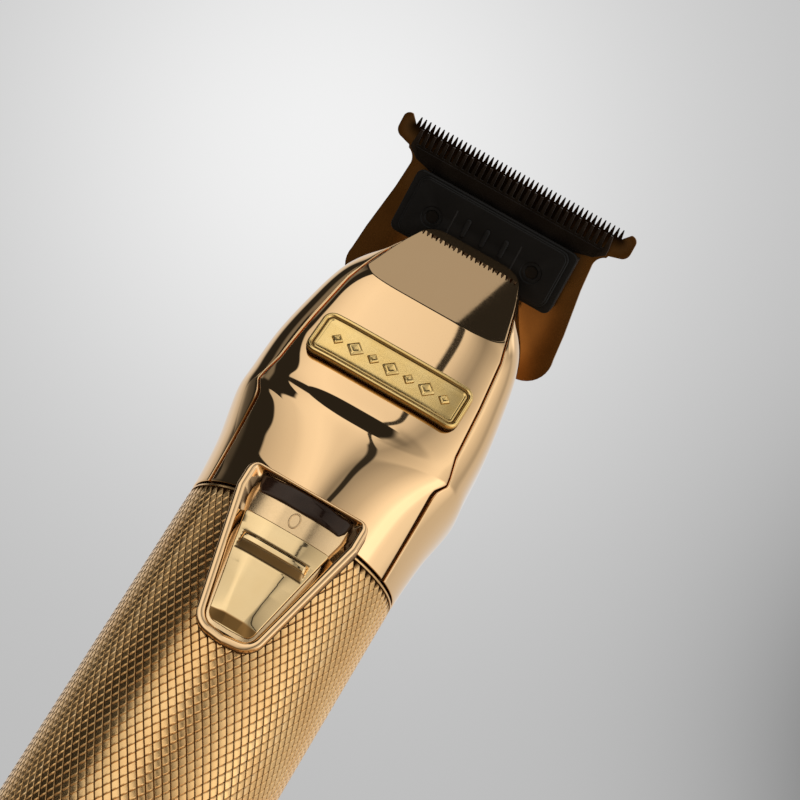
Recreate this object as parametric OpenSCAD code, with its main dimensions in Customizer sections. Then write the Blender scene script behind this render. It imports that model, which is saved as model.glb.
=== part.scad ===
// Cordless hair trimmer with a T blade, standing on its end cap.
// The origin is the centre of the base. +Z runs up the grip to the teeth, the switch faces -Y.
// Heights written h are counted from the grip's top rim, upwards into the head.

/* [Grip] */
// Outer diameter of the knurled grip
grip_d = 35; // [34.8:0.1:35.2]
// Height of the grip's top rim above the base
rim_z = 106; // [104:1:112]
// Wall of the grip sleeve
grip_wall = 1.5; // [1.2:0.1:1.6]
// Height of the end cap under the grip
cap_h = 5; // [4:0.5:6]

/* [Head] */
// Wall of the two chromed covers
cover_wall = 1.4; // [1.2:0.1:1.5]
// Gap between neighbouring covers
seam_gap = 0.3; // [0.2:0.05:0.4]

/* [Blade] */
// Width over the lugs of the fixed blade
blade_w = 43.2; // [42.4:0.2:44]
// Length of the fixed blade from its tips to its heel
blade_l = 30.8; // [30:0.2:31]
// Lean of the blade towards the switch side
blade_lean = 35; // [34.5:0.5:35.5]
// Number of teeth on the fixed blade
fixed_teeth = 46; // [40:1:50]
// Number of teeth on the moving cutter
cutter_teeth = 31; // [25:1:33]
// Half of the cutter's stroke, the throw of the eccentric
throw = 1.2; // [0.8:0.1:1.2]

/* [Switch] */
// Travel of the slide button from off to on
slide_travel = 3.4; // [2.4:0.2:3.4]

/* [Inside] */
// Diameter of the rechargeable cell
cell_d = 18.4; // [18:0.1:18.6]
// Length of the rechargeable cell
cell_l = 65; // [60:1:66]
// Diameter of the motor can
motor_d = 24; // [22:0.5:24]

/* [Hidden] */

grip_r = grip_d / 2;
grip_in = grip_r - grip_wall;
core_r = grip_in - 0.3;

// Head outline: half width, front depth, back depth and centre line against h
half_width = [[0, grip_r], [4, 17.7], [9, 18.15], [12.5, 18.8], [16, 19.3], [19, 19], [26, 18.6],
    [33, 17.65], [39.5, 16.5], [45.5, 14.9], [51, 12.3], [57, 9.4], [61, 7.8]];
front_depth = [[0, grip_r], [4, 17.9], [9, 18.6], [13, 18.8], [15, 18.6], [16.5, 18.1], [18.5, 17.1],
    [22, 16.1], [30, 13.7], [41, 10.6], [61, 5]];
back_depth = [[0, grip_r], [8, 17.9], [16, 18.4], [20, 18.1], [30, 17.5], [40, 16.9], [61, 15.6]];
middle_y = [[0, 0], [20, 0], [30, 1.2], [41, 4.2], [50, 7], [61, 9.5]];
front_power = [[0, 2], [6, 2.1], [11, 2.4], [14.5, 2.9], [16.5, 3.5], [20, 4.3], [26, 5.2], [34, 5.8],
    [41, 6], [45, 4.4], [50, 3.1], [61, 2.6]];
back_power = [[0, 2], [12, 2.1], [30, 2.4], [61, 2.8]];
// Distance of the seam from the centre plane, with the jog over the shoulder
seam_x = [[0, 14.8], [13.5, 14.9], [14.5, 15.1], [16.2, 16.1], [17.5, 15.9], [20.7, 15.1],
    [30, 14.4], [39, 13.4], [41.5, 12.8], [50, 10.9], [57, 9.1], [61, 7.4]];
crease_h = 41;
nose_lean = 35;
arch_h = 59.2;
arch_drop = 3.6;
flank_h = 56;
tip_y = 1.1;
tip_h = 74.35;
seat_gap = 0.6;

// Nameplate
plate_w = 25.7;
plate_h = 8.3;
plate_t = 1.1;
plate_lean = 16.7;
plate_mid = 27.2;

// Switch group
bezel_y = -18.9;
bezel_top = 3.7;
bezel_half = 9.95;
// Rounded foot of the drop: corner circles and the circle between them, as [x, h, radius]
drop_corner = [2, -18.3, 3.55];
drop_foot = [0, -19.1, 3];
bezel_rim = 1.5;
panel_y = -18.3;
slide_y = -20.2;
stem_half = 1.4;
stem_low = -12;
stem_high = -9;

board_y = -13.6;
board_t = 1.2;

// Motor group, heights in h
motor_y = 1;
motor_low = -2;
motor_high = 28;
shaft_r = 1;
cam_low = 32;
cam_high = 37;
pin_top = 41.4;
pin_r = 1.5;
fork_low = 41.9;

// Blade stack: depth in front of the fixed blade's front face
fixed_t = 1;
cutter_gap = 0.05;
cutter_t = 0.9;
yoke_t = 1.3;
block_base = [3, 4.2];
block_face = 5;
tooth_half = 19.2;

function slope_at(p, i) =
    i <= 0 ? (p[1][1] - p[0][1]) / (p[1][0] - p[0][0])
    : i >= len(p) - 1 ? (p[i][1] - p[i - 1][1]) / (p[i][0] - p[i - 1][0])
    : (p[i + 1][1] - p[i - 1][1]) / (p[i + 1][0] - p[i - 1][0]);
function span_of(p, x, i = 0) = i >= len(p) - 2 || x <= p[i + 1][0] ? i : span_of(p, x, i + 1);
// Smooth curve through the points p at x
function curve(p, x) =
    let(i = span_of(p, x), w = p[i + 1][0] - p[i][0], t = (x - p[i][0]) / w,
        a = slope_at(p, i) * w, b = slope_at(p, i + 1) * w)
    (2 * t ^ 3 - 3 * t ^ 2 + 1) * p[i][1] + (t ^ 3 - 2 * t ^ 2 + t) * a
    + (3 * t ^ 2 - 2 * t ^ 3) * p[i + 1][1] + (t ^ 3 - t ^ 2) * b;

function nose_y(h) = -curve(front_depth, crease_h) + (h - crease_h) * tan(nose_lean);
function head_radius(phi, h, inset) =
    let(front = cos(phi) > 0,
        w = curve(half_width, h) - inset,
        m = curve(middle_y, h),
        d = (front ? curve(front_depth, h) + m : curve(back_depth, h) - m) - inset,
        n = curve(front ? front_power : back_power, h))
    pow(pow(abs(sin(phi)) / w, n) + pow(abs(cos(phi)) / d, n), -1 / n);
// Point of the head's skin at angle phi from the front and height h, moved in by inset
function head_point(phi, h, inset) =
    let(r = head_radius(phi, h, inset), y = curve(middle_y, h) - r * cos(phi))
    [r * sin(phi), max(y, nose_y(h) + inset / cos(nose_lean)), rim_z + h];
// Height at which the skin meets the slanted blade seat
function seat_h(phi, h = 53, steps = 8) =
    steps == 0 ? h
    : seat_h(phi, min(flank_h, tip_h - (head_point(phi, h, 0)[1] - tip_y + seat_gap
        / cos(blade_lean)) / tan(blade_lean)), steps - 1);

function arc(x, y, r, from, to, n = 6) =
    [for (i = [0:n]) let(a = from + (to - from) * i / n) [x + r * cos(a), y + r * sin(a)]];

// Closed skin patch: rows run up the head, columns run round it
module skin_patch(outer, inner) {
    rows = len(outer);
    cols = len(outer[0]);
    size = rows * cols;
    points = [for (row = outer, p = row) p, for (row = inner, p = row) p];
    ring = concat([for (j = [0:cols - 1]) j], [for (i = [1:rows - 1]) i * cols + cols - 1],
        [for (j = [cols - 2:-1:0]) (rows - 1) * cols + j], [for (i = [rows - 2:-1:1]) i * cols]);
    outside = [for (i = [0:rows - 2], j = [0:cols - 2]) let(a = i * cols + j)
        each [[a, a + cols, a + 1], [a + 1, a + cols, a + cols + 1]]];
    inside = [for (f = outside) [f[0] + size, f[2] + size, f[1] + size]];
    edge = [for (k = [0:len(ring) - 1]) let(a = ring[k], b = ring[(k + 1) % len(ring)])
        each [[a, b, a + size], [b, b + size, a + size]]];
    polyhedron(points, concat(outside, inside, edge), convexity = 6);
}

// --- grip -------------------------------------------------------------------

module grip_sleeve() {
    color([0.72, 0.53, 0.27])
    difference() {
        union() {
            translate([0, 0, cap_h])
            cylinder(r1 = grip_r - 0.4, r2 = grip_r, h = 0.4, $fn = 96);
            translate([0, 0, cap_h + 0.4])
            cylinder(r = grip_r, h = rim_z - cap_h - 0.8, $fn = 96);
            translate([0, 0, rim_z - 0.4])
            cylinder(r1 = grip_r, r2 = grip_r - 0.4, h = 0.4, $fn = 96);
        }
        translate([0, 0, cap_h - 1])
        cylinder(r = grip_in, h = rim_z, $fn = 96);
        translate([-stem_half - 0.5, -grip_r - 1, rim_z + stem_low - 0.5])
        cube([2 * stem_half + 1, 4, stem_high - stem_low + slide_travel + 1]);
    }
}

module end_cap() {
    spigot_r = grip_in - 0.05;
    color([0.80, 0.60, 0.42])
    difference() {
        rotate_extrude($fn = 96)
        polygon(concat([[0, 0]], arc(grip_r - 2, 2, 2, -90, 0), [[grip_r, cap_h - 0.3],
            [grip_r - 0.3, cap_h], [spigot_r, cap_h], [spigot_r, cap_h + 6],
            [spigot_r - 1.5, cap_h + 6], [spigot_r - 1.5, cap_h], [0, cap_h]]));
        translate([0, 0, -1])
        cylinder(r = 4.2, h = cap_h + 3, $fn = 48);
        for (x = [-10, 10])
            translate([x, 0, -1]) {
                cylinder(r = 1.2, h = cap_h + 3, $fn = 32);
                cylinder(r = 2.4, h = 2.8, $fn = 32);
            }
    }
}

module power_inlet() {
    color([0.12, 0.12, 0.13]) {
        difference() {
            union() {
                translate([0, 0, 0.3])
                cylinder(r = 4.1, h = 6, $fn = 48);
                translate([0, 0, cap_h + 1.3])
                cylinder(r = 5.6, h = 5, $fn = 48);
            }
            translate([0, 0, -0.1])
            cylinder(r = 2.75, h = 9, $fn = 48);
        }
        translate([0, 0, 1.2])
        cylinder(r = 1, h = 8.5, $fn = 32);
    }
}

module inlet_seal() {
    color([0.06, 0.06, 0.06])
    translate([0, 0, cap_h + 0.65])
    rotate_extrude($fn = 48)
    translate([4.8, 0])
    circle(r = 0.6, $fn = 24);
}

module cap_screws() {
    color([0.75, 0.75, 0.76])
    for (x = [-10, 10])
        translate([x, 0, 0.4])
        difference() {
            union() {
                cylinder(r = 2.2, h = 1.3, $fn = 32);
                cylinder(r = 1.1, h = 10.5, $fn = 32);
            }
            for (turn = [0, 90])
                rotate([0, 0, turn])
                translate([-1.4, -0.25, -0.5])
                cube([2.8, 0.5, 1.1]);
        }
}

// --- inner frame, cell and electronics ----------------------------------------

module chassis() {
    foot_z = cap_h + 6.2;
    seat_z = rim_z + motor_low;
    color([0.16, 0.16, 0.17])
    difference() {
        union() {
            translate([0, 0, foot_z])
            cylinder(r = core_r, h = 2.4, $fn = 96);
            intersection() {
                translate([0, 0, foot_z])
                cylinder(r = core_r, h = seat_z - foot_z, $fn = 96);
                for (side = [-1, 1])
                    translate([side * (core_r - 1.3) - 1.5, -5, foot_z])
                    cube([3, 13, seat_z - foot_z]);
            }
            translate([0, 0, foot_z + cell_l + 5])
            cylinder(r = core_r, h = 2, $fn = 96);
            translate([0, 0, seat_z - 6])
            cylinder(r = core_r, h = 16, $fn = 96);
        }
        translate([0, motor_y, seat_z - 0.2])
        cylinder(r = motor_d / 2 + 0.2, h = 20, $fn = 64);
        translate([0, motor_y, seat_z - 7])
        cylinder(r = motor_d / 2 - 2, h = 8, $fn = 64);
        translate([-9, -core_r - 1, foot_z + cell_l + 4])
        cube([18, 8, rim_z - foot_z - cell_l - 4]);
        translate([-8.6, -core_r - 1, rim_z - 1])
        cube([17.2, core_r + 1 + board_y + board_t + 0.2, 12]);
        translate([0, 0, foot_z - 1])
        cylinder(r = 5.8, h = 5, $fn = 48);
        for (x = [-10, 10])
            translate([x, 0, foot_z - 1])
            cylinder(r = 1.15, h = 5, $fn = 24);
    }
}

module battery_cell() {
    low = cap_h + 9.6;
    color([0.20, 0.42, 0.30])
    translate([0, 2, low]) {
        cylinder(r = cell_d / 2, h = cell_l, $fn = 64);
        translate([0, 0, cell_l])
        cylinder(r = 3, h = 0.8, $fn = 32);
    }
}

module battery_contacts() {
    low = cap_h + 8.7;
    color([0.80, 0.80, 0.78]) {
        translate([-2.5, -8, low])
        cube([5, 14, 0.8]);
        translate([-2.5, -8.6, low])
        cube([5, 0.6, 7]);
        translate([-2.5, -8, low + cell_l + 1.75])
        cube([5, 12, 0.5]);
        translate([-2.5, -8.6, low + cell_l - 3.2])
        cube([5, 0.6, 5.45]);
    }
}

module circuit_board() {
    color([0.10, 0.32, 0.18])
    translate([-7.5, board_y, 20])
    cube([15, board_t, rim_z - 16]);
    color([0.08, 0.08, 0.09])
    for (row = [0:3])
        translate([-5 + 5 * (row % 2), board_y - 1, 32 + 11 * row])
        cube([5, 1, 5]);
}

module power_switch() {
    color([0.65, 0.65, 0.66])
    translate([-4, board_y - 1.1, rim_z - 15])
    cube([8, 1.1, 10]);
}

module status_led() {
    color([0.95, 0.95, 0.90])
    translate([-1.6, board_y - 0.9, rim_z + 0.5])
    cube([3.2, 0.9, 1.8]);
}

// --- switch group ----------------------------------------------------------------

// Drop-shaped outline of the bezel, moved in by the given amount, in x and h
module drop_outline(inset, top) {
    half = bezel_half - inset;
    shoulder = 0.4;
    top_r = max(0.9 - inset, 0.3);
    module disc(x, h, r) {
        translate([x, h])
        circle(r = r, $fn = 48);
    }
    hull() {
        for (side = [-1, 1]) {
            disc(side * (half - top_r), top - top_r, top_r);
            disc(side * (half - top_r), -shoulder, top_r);
            disc(side * drop_corner[0], drop_corner[1], drop_corner[2] - inset);
        }
        disc(drop_foot[0], drop_foot[1], drop_foot[2] - inset);
    }
}

module grip_clearance(gap) {
    cylinder(r = grip_r + gap, h = rim_z + 0.15, $fn = 96);
    translate([0, 0, rim_z])
    cylinder(r = grip_r + 0.7, h = 12, $fn = 96);
}

module front_slab(front, depth) {
    translate([0, front + depth, rim_z])
    rotate([90, 0, 0])
    linear_extrude(depth)
    children();
}

module switch_bezel() {
    color([0.80, 0.58, 0.40])
    difference() {
        front_slab(bezel_y, 6)
        difference() {
            drop_outline(0, bezel_top);
            drop_outline(bezel_rim, bezel_top - 0.5);
        }
        grip_clearance(0.05);
    }
}

module switch_plate() {
    color([0.85, 0.66, 0.46]) {
        difference() {
            front_slab(panel_y, 5)
            drop_outline(bezel_rim + 0.05, bezel_top - 0.55);
            grip_clearance(0.05);
            translate([-stem_half - 0.3, -grip_r - 2, rim_z + stem_low - 0.4])
            cube([2 * stem_half + 0.6, 4, stem_high - stem_low + slide_travel + 0.8]);
            front_slab(panel_y - 0.1, 0.5)
            window_outline(0.05);
        }
        front_slab(panel_y - 0.12, 0.12)
        translate([0, -1.2])
        scale([0.68, 1])
        difference() {
            circle(r = 1.25, $fn = 48);
            circle(r = 0.97, $fn = 48);
        }
    }
}

module window_outline(grow) {
    low = 0.35 - grow;
    high = 2.85 + grow;
    polygon([[-6.6 - grow, low], [6.6 + grow, low], [7.3 + grow, 1.2], [7.3 + grow, high],
        [-7.3 - grow, high], [-7.3 - grow, 1.2]]);
}

module status_window() {
    color([0.20, 0.13, 0.11])
    front_slab(panel_y - 0.15, 0.5)
    window_outline(0);
}

module switch_slide() {
    top = -3.15;
    low = -19.85;
    end_r = 1.5;
    color([0.90, 0.78, 0.45]) {
        intersection() {
            front_slab(slide_y - 1, 5)
            hull() {
                for (side = [-1, 1]) {
                    translate([side * 2.3, low + end_r + 0.1])
                    circle(r = end_r, $fn = 48);
                    translate([side * 0.6, low + end_r])
                    circle(r = end_r, $fn = 48);
                    translate([side * 6.45, top - 0.4])
                    circle(r = 0.4, $fn = 24);
                }
            }
            translate([-8, 0, rim_z])
            rotate([90, 0, 90])
            linear_extrude(16)
            polygon([[panel_y - 0.3, low], [panel_y - 0.3, top], [panel_y - 0.9, top],
                [slide_y + 0.9, -6.2], [slide_y + 0.1, -6.6], [slide_y, -7], [slide_y, -7.5],
                [slide_y + 0.9, -8.9], [slide_y + 0.6, -10], [slide_y + 0.5, -13],
                [panel_y - 1.1, -18], [panel_y - 0.4, low]]);
        }
        translate([-stem_half, panel_y - 0.4, rim_z + stem_low])
        cube([2 * stem_half, 3.8, stem_high - stem_low]);
    }
}

// --- head covers ---------------------------------------------------------------------

// Angle of a cover's edge from the front: the seam, less or more half the gap
function seam_at(h, way) =
    let(x = lookup(h, seam_x) + way * seam_gap / 2, w = curve(half_width, h),
        n = curve(front_power, h), d = curve(front_depth, h) + curve(middle_y, h))
    atan2(x, d * pow(1 - pow(x / w, n), 1 / n));

module front_cover() {
    rows = 26;
    cols = 32;
    function top_of(u) = arch_h - arch_drop * pow(abs(u), 5);
    function at(i, j, inset) =
        let(u = 2 * j / cols - 1, h = seam_gap + (top_of(u) - seam_gap) * i / rows)
        head_point(u * seam_at(h, -1), h, inset);
    color([0.84, 0.65, 0.48])
    skin_patch([for (i = [0:rows]) [for (j = [0:cols]) at(i, j, 0)]],
        [for (i = [0:rows]) [for (j = [0:cols]) at(i, j, cover_wall)]]);
}

module rear_cover() {
    rows = 24;
    cols = 40;
    function at(i, j, inset) =
        let(u = j / cols, guess = seat_h(50 + 260 * u), h = seam_gap + (guess - seam_gap) * i / rows,
            first = seam_at(h, 1))
        head_point(first + (360 - 2 * first) * u, h, inset);
    color([0.82, 0.62, 0.44])
    skin_patch([for (i = [0:rows]) [for (j = [0:cols]) at(i, j, 0)]],
        [for (i = [0:rows]) [for (j = [0:cols]) at(i, j, cover_wall)]]);
}

module nameplate() {
    lift = 0.2;
    edge = plate_w / 2 + 0.4;
    steps = 14;
    half = curve(half_width, plate_mid);
    deep = curve(front_depth, plate_mid) + curve(middle_y, plate_mid);
    power = curve(front_power, plate_mid);
    // How far the cover falls back at x, square to the leaning plate
    function fall(x) =
        deep * (1 - pow(1 - pow(abs(x) / half, power), 1 / power)) * cos(plate_lean);
    function rail(depth) =
        [for (k = [-steps:steps]) let(x = edge * k / steps) [x, fall(x) + depth]];
    module outline(inset) {
        r = 1.8 - inset;
        hull()
        for (x = [-1, 1], z = [-1, 1])
            translate([x * (plate_w / 2 - 1.8), z * (plate_h / 2 - 1.8)])
            circle(r = r, $fn = 32);
    }
    // Slab that follows the cover, between two depths behind the plate's front face
    module bent(front, back) {
        far = rail(back);
        translate([0, 0, -plate_h])
        linear_extrude(2 * plate_h)
        polygon(concat(rail(front), [for (k = [2 * steps:-1:0]) far[k]]));
    }
    module cut_to(depth) {
        translate([0, depth, 0])
        rotate([90, 0, 0])
        linear_extrude(2 * depth)
        children();
    }
    color([0.88, 0.72, 0.30])
    translate([0, -curve(front_depth, plate_mid), rim_z + plate_mid])
    rotate([-plate_lean, 0, 0])
    translate([0, -plate_t - lift, 0]) {
        intersection() {
            bent(0.45, plate_t);
            cut_to(6)
            outline(0);
        }
        intersection() {
            bent(0, 0.5);
            cut_to(6)
            difference() {
                outline(0);
                outline(0.75);
            }
        }
        intersection() {
            bent(0.1, 0.5);
            cut_to(6)
            for (k = [-3:3])
                translate([k * 3, 0])
                rotate([0, 0, 45])
                square(k % 2 == 0 ? 2 : 1.4, center = true);
        }
    }
}

// --- motor ------------------------------------------------------------------------------

module at_motor(h) {
    translate([0, motor_y, rim_z + h])
    children();
}

module motor_can() {
    color([0.70, 0.70, 0.72])
    difference() {
        at_motor(motor_low + 4)
        cylinder(r = motor_d / 2, h = motor_high - motor_low - 4, $fn = 96);
        at_motor(motor_low + 3)
        cylinder(r = motor_d / 2 - 1, h = motor_high - motor_low - 4.2, $fn = 96);
        at_motor(motor_high - 3)
        cylinder(r = shaft_r + 0.05, h = 5, $fn = 48);
        for (x = [-7, 7])
            at_motor(motor_high - 3)
            translate([x, 0, 0])
            cylinder(r = 1.05, h = 6, $fn = 32);
    }
}

module motor_end_bell() {
    color([0.10, 0.10, 0.11])
    difference() {
        at_motor(motor_low)
        cylinder(r = motor_d / 2, h = 3.95, $fn = 96);
        at_motor(motor_low + 1)
        cylinder(r = shaft_r + 0.05, h = 4, $fn = 48);
    }
}

module motor_leads() {
    lead_y = -6.6;
    color([0.70, 0.10, 0.08])
    for (x = [-4, 4])
        translate([x, lead_y, rim_z - 12]) {
            cylinder(r = 0.6, h = 12 + motor_low, $fn = 24);
            rotate([90, 0, 0])
            cylinder(r = 0.6, h = lead_y - board_y - board_t, $fn = 24);
            sphere(r = 0.6, $fn = 24);
        }
}

module motor_shaft() {
    color([0.80, 0.80, 0.82]) {
        at_motor(motor_low + 1.2)
        cylinder(r = shaft_r, h = cam_high - motor_low - 1.7, $fn = 48);
        at_motor(motor_low + 6)
        cylinder(r = motor_d / 2 - 2, h = motor_high - motor_low - 10, $fn = 64);
    }
}

module eccentric() {
    color([0.55, 0.56, 0.58])
    difference() {
        union() {
            at_motor(cam_low)
            cylinder(r = 4.5, h = cam_high - cam_low, $fn = 64);
            at_motor(cam_high)
            translate([0, -throw, 0])
            cylinder(r = pin_r, h = pin_top - cam_high, $fn = 48);
        }
        at_motor(cam_low - 1)
        cylinder(r = shaft_r, h = cam_high - cam_low + 0.5, $fn = 48);
        at_motor(cam_low - 1)
        translate([0, 2.9, 0])
        cylinder(r = 1.1, h = 4, $fn = 32);
    }
}

module motor_plate() {
    top = motor_high + 1.6;
    color([0.60, 0.60, 0.62])
    difference() {
        union() {
            at_motor(motor_high + 0.1)
            cylinder(r = 9.6, h = 1.5, $fn = 64);
            translate([-6.5, motor_y + 5, rim_z + motor_high + 0.1])
            cube([13, 8.5, 1.5]);
            translate([-6.5, motor_y + 12, rim_z + motor_high + 0.1])
            cube([13, 1.5, 10]);
        }
        at_motor(motor_high - 1)
        cylinder(r = 3.2, h = 4, $fn = 48);
        for (x = [-7, 7])
            at_motor(motor_high - 1)
            translate([x, 0, 0])
            cylinder(r = 1.1, h = top - motor_high + 3, $fn = 32);
    }
}

module motor_screws() {
    color([0.30, 0.30, 0.31])
    for (x = [-7, 7])
        at_motor(motor_high - 2.2)
        translate([x, 0, 0])
        difference() {
            union() {
                cylinder(r = 1, h = 4, $fn = 32);
                translate([0, 0, 3.85])
                cylinder(r = 1.9, h = 1.3, $fn = 32);
            }
            translate([-2, -0.25, 4.7])
            cube([4, 0.5, 1]);
        }
}

// --- blade set ------------------------------------------------------------------------------

// Blade frame: x across, z up the blade with the tips at 0, -y out of its front face
module blade_frame() {
    translate([0, tip_y, rim_z + tip_h])
    rotate([blade_lean, 0, 0])
    children();
}

// Outline drawn in x and z, made solid between two depths in front of the blade
module sheet(from, to) {
    rotate([90, 0, 0])
    translate([0, 0, from])
    linear_extrude(to - from)
    children();
}

// Row of pointed teeth standing on z = 0
module tooth_row(count, half, root, tip, length) {
    pitch = 2 * half / count;
    for (k = [0:count - 1])
        translate([-half + (k + 0.5) * pitch, 0])
        polygon([[-root * pitch / 2, -0.2], [-root * pitch / 2, 0], [-tip * pitch / 2, length],
            [tip * pitch / 2, length], [root * pitch / 2, 0], [root * pitch / 2, -0.2]]);
}

module mirrored_outline(right) {
    left = [for (k = [len(right) - 1:-1:0]) [-right[k][0], right[k][1]]];
    polygon(concat(right, left));
}

module fixed_blade() {
    root = -1.45;
    lug = blade_w / 2;
    bar = -4.4;
    color([0.42, 0.25, 0.12])
    blade_frame()
    difference() {
        sheet(-fixed_t, 0) {
            mirrored_outline(concat([[0, root], [tooth_half, root], [tooth_half + 0.2, -0.2]],
                arc(lug - 1.1, -1.2, 1.1, 90, 0), arc(lug - 1.5, bar + 1.5, 1.5, 0, -80),
                [[18.6, -4.9]], arc(19.2, -7.4, 2.2, 110, 190), [[17.4, -12], [18.6, -20]],
                arc(19.2 - 4.6, -blade_l + 5.2, 4.6, 15, -90), [[0, -blade_l + 0.6]]));
            translate([0, root])
            tooth_row(fixed_teeth, tooth_half, 0.86, 0.2, -root);
        }
        for (x = [-5, 5])
            translate([x, 0, -21.5])
            rotate([90, 0, 0])
            cylinder(r = 1.3, h = 6, center = true, $fn = 32);
    }
}

module cutter() {
    tip = -1.6;
    root = -4;
    half = 18.2;
    color([0.13, 0.11, 0.11])
    blade_frame()
    sheet(cutter_gap, cutter_gap + cutter_t) {
        mirrored_outline([[0, root], [half, root], [half, root - 0.9], [16.4, -6.2],
            [12, -7.25], [12, -15], [0, -15]]);
        translate([0, root])
        tooth_row(cutter_teeth, half, 0.62, 0.4, tip - root);
    }
}

// Point in y and h at a depth in front of the blade and a distance below its tips
function blade_point(depth, below) =
    [tip_y + below * sin(blade_lean) - depth * cos(blade_lean),
        tip_h - below * cos(blade_lean) - depth * sin(blade_lean)];

module cutter_yoke() {
    low = cutter_gap + cutter_t;
    arm_half = 2.6;
    fork_top = fork_low + 3;
    color([0.85, 0.84, 0.80]) {
        blade_frame()
        sheet(low, low + yoke_t)
        polygon([[-7, -9], [7, -9], [7, -14.6], [-7, -14.6]]);
        translate([-arm_half, 0, rim_z])
        rotate([90, 0, 90])
        linear_extrude(2 * arm_half)
        polygon([blade_point(low, 12), blade_point(low, 16), blade_point(low + 1, 16.4),
            blade_point(low + 1, 19.2), [9.6, 50], [5.2, fork_top - 0.2], [1.5, fork_top - 0.2],
            [6.8, 50.5], [7.4, 55], blade_point(2.85, 18), blade_point(2.85, 14.6),
            blade_point(low + 0.5, 12)]);
        difference() {
            translate([-4.5, motor_y - 4.6, rim_z + fork_low])
            cube([9, 9.2, fork_top - fork_low]);
            translate([-pin_r - 0.05, motor_y - 3.2, rim_z + fork_low - 1])
            cube([2 * pin_r + 0.1, 6.4, 5]);
        }
    }
}

module blade_block() {
    top = -6.6;
    low = -16.9;
    skirt = 13.4;
    color([0.03, 0.03, 0.03])
    blade_frame()
    difference() {
        union() {
            sheet(block_base[0], block_base[1])
            block_outline(14.8, top, low, 1.2);
            sheet(block_base[1] - 0.1, block_face)
            block_outline(12.9, top - 0.6, low + 0.6, 1.6);
            for (side = [-1, 1])
                translate([side * (skirt + 0.7) - 0.7, -block_base[0] - 0.1, low + 0.4])
                cube([1.4, block_base[0] + 0.05, top - low - 1.2]);
            for (x = [-3.6, 0, 3.6])
                translate([x - 0.4, -block_face - 0.25, -13.6])
                cube([0.8, 0.5, 3.2]);
        }
        for (x = [-9.2, 9.2])
            translate([x, 0, -12.6])
            rotate([90, 0, 0])
            cylinder(r = 1.05, h = 12, center = true, $fn = 32);
    }
}

module block_outline(half, top, low, r) {
    hull()
    for (side = [-1, 1], z = [top - r, low + r])
        translate([side * (half - r), z])
        circle(r = r, $fn = 32);
}

module block_screws() {
    color([0.10, 0.10, 0.10])
    blade_frame()
    for (x = [-9.2, 9.2])
        translate([x, -block_face + 0.3, -12.6])
        rotate([90, 0, 0])
        translate([0, 0, -1.8])
        cylinder(r = 1, h = 1.8, $fn = 32);
}

module blade_bracket() {
    color([0.58, 0.58, 0.60]) {
        difference() {
            blade_frame()
            sheet(0.05, 1.75)
            polygon([[-7, -17], [7, -17], [7, -22.2], [6, -23.4], [-6, -23.4], [-7, -22.2]]);
            blade_frame()
            for (x = [-5, 5])
                translate([x, 0, -21.5])
                rotate([90, 0, 0])
                cylinder(r = 1.1, h = 8, center = true, $fn = 32);
        }
        difference() {
            translate([-6.5, motor_y + 10.4, rim_z + 31])
            cube([13, 1.6, 26]);
            blade_frame()
            translate([-10, -1.7, -40])
            cube([20, 20, 60]);
        }
    }
}

module tension_spring() {
    leg = [4.4, 5.6];
    color([0.75, 0.75, 0.77])
    blade_frame()
    for (side = [-1, 1])
        translate([side * (leg[0] + leg[1]) / 2 - 0.6, 0, 0])
        rotate([90, 0, 90])
        linear_extrude(1.2)
        polygon([[-2.3, -11], [-2.7, -11], [-2.8, -15.4], [-2.3, -17.6], [-2.25, -20],
            [-1.8, -20], [-1.8, -17.4], [-2.35, -15.2]]);
}

module blade_screws() {
    color([0.70, 0.68, 0.62])
    blade_frame()
    for (x = [-5, 5])
        translate([x, fixed_t + 1.3, -21.5])
        rotate([90, 0, 0])
        difference() {
            union() {
                cylinder(r = 2.3, h = 1.25, $fn = 32);
                cylinder(r = 1.05, h = 4, $fn = 32);
            }
            translate([-2.5, -0.3, -0.5])
            cube([5, 0.6, 1.1]);
        }
}

grip_sleeve();
end_cap();
power_inlet();
inlet_seal();
cap_screws();
chassis();
battery_cell();
battery_contacts();
circuit_board();
power_switch();
status_led();
switch_bezel();
switch_plate();
switch_slide();
status_window();
front_cover();
rear_cover();
nameplate();
motor_can();
motor_end_bell();
motor_leads();
motor_shaft();
eccentric();
motor_plate();
motor_screws();
blade_bracket();
fixed_blade();
cutter();
cutter_yoke();
blade_block();
tension_spring();
blade_screws();
block_screws();
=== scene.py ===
"""Looks for a cordless hair trimmer: gold body, knurled grip, T blade.

Shapes are worked out in millimetres in the part's own frame and made in metres.
Heights called h are counted from the grip's top rim, upwards into the head.
"""

import math

import bmesh
import bpy
import numpy as np
from mathutils import Matrix, Vector


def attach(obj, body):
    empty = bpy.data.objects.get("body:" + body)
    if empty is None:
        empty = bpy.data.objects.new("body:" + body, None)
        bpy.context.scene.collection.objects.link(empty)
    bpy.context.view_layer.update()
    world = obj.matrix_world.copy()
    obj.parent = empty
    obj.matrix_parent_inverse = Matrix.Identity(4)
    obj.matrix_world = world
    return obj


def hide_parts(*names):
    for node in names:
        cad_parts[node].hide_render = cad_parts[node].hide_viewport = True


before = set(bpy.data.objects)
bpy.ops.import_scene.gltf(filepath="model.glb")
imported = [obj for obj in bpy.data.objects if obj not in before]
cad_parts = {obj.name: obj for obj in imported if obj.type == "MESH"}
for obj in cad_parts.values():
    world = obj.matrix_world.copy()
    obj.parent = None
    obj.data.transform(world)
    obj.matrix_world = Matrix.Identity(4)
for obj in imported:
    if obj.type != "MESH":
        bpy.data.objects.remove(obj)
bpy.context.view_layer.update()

MM = 0.001

# --- sizes in mm, the part's own unless a comment says otherwise ---

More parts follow.
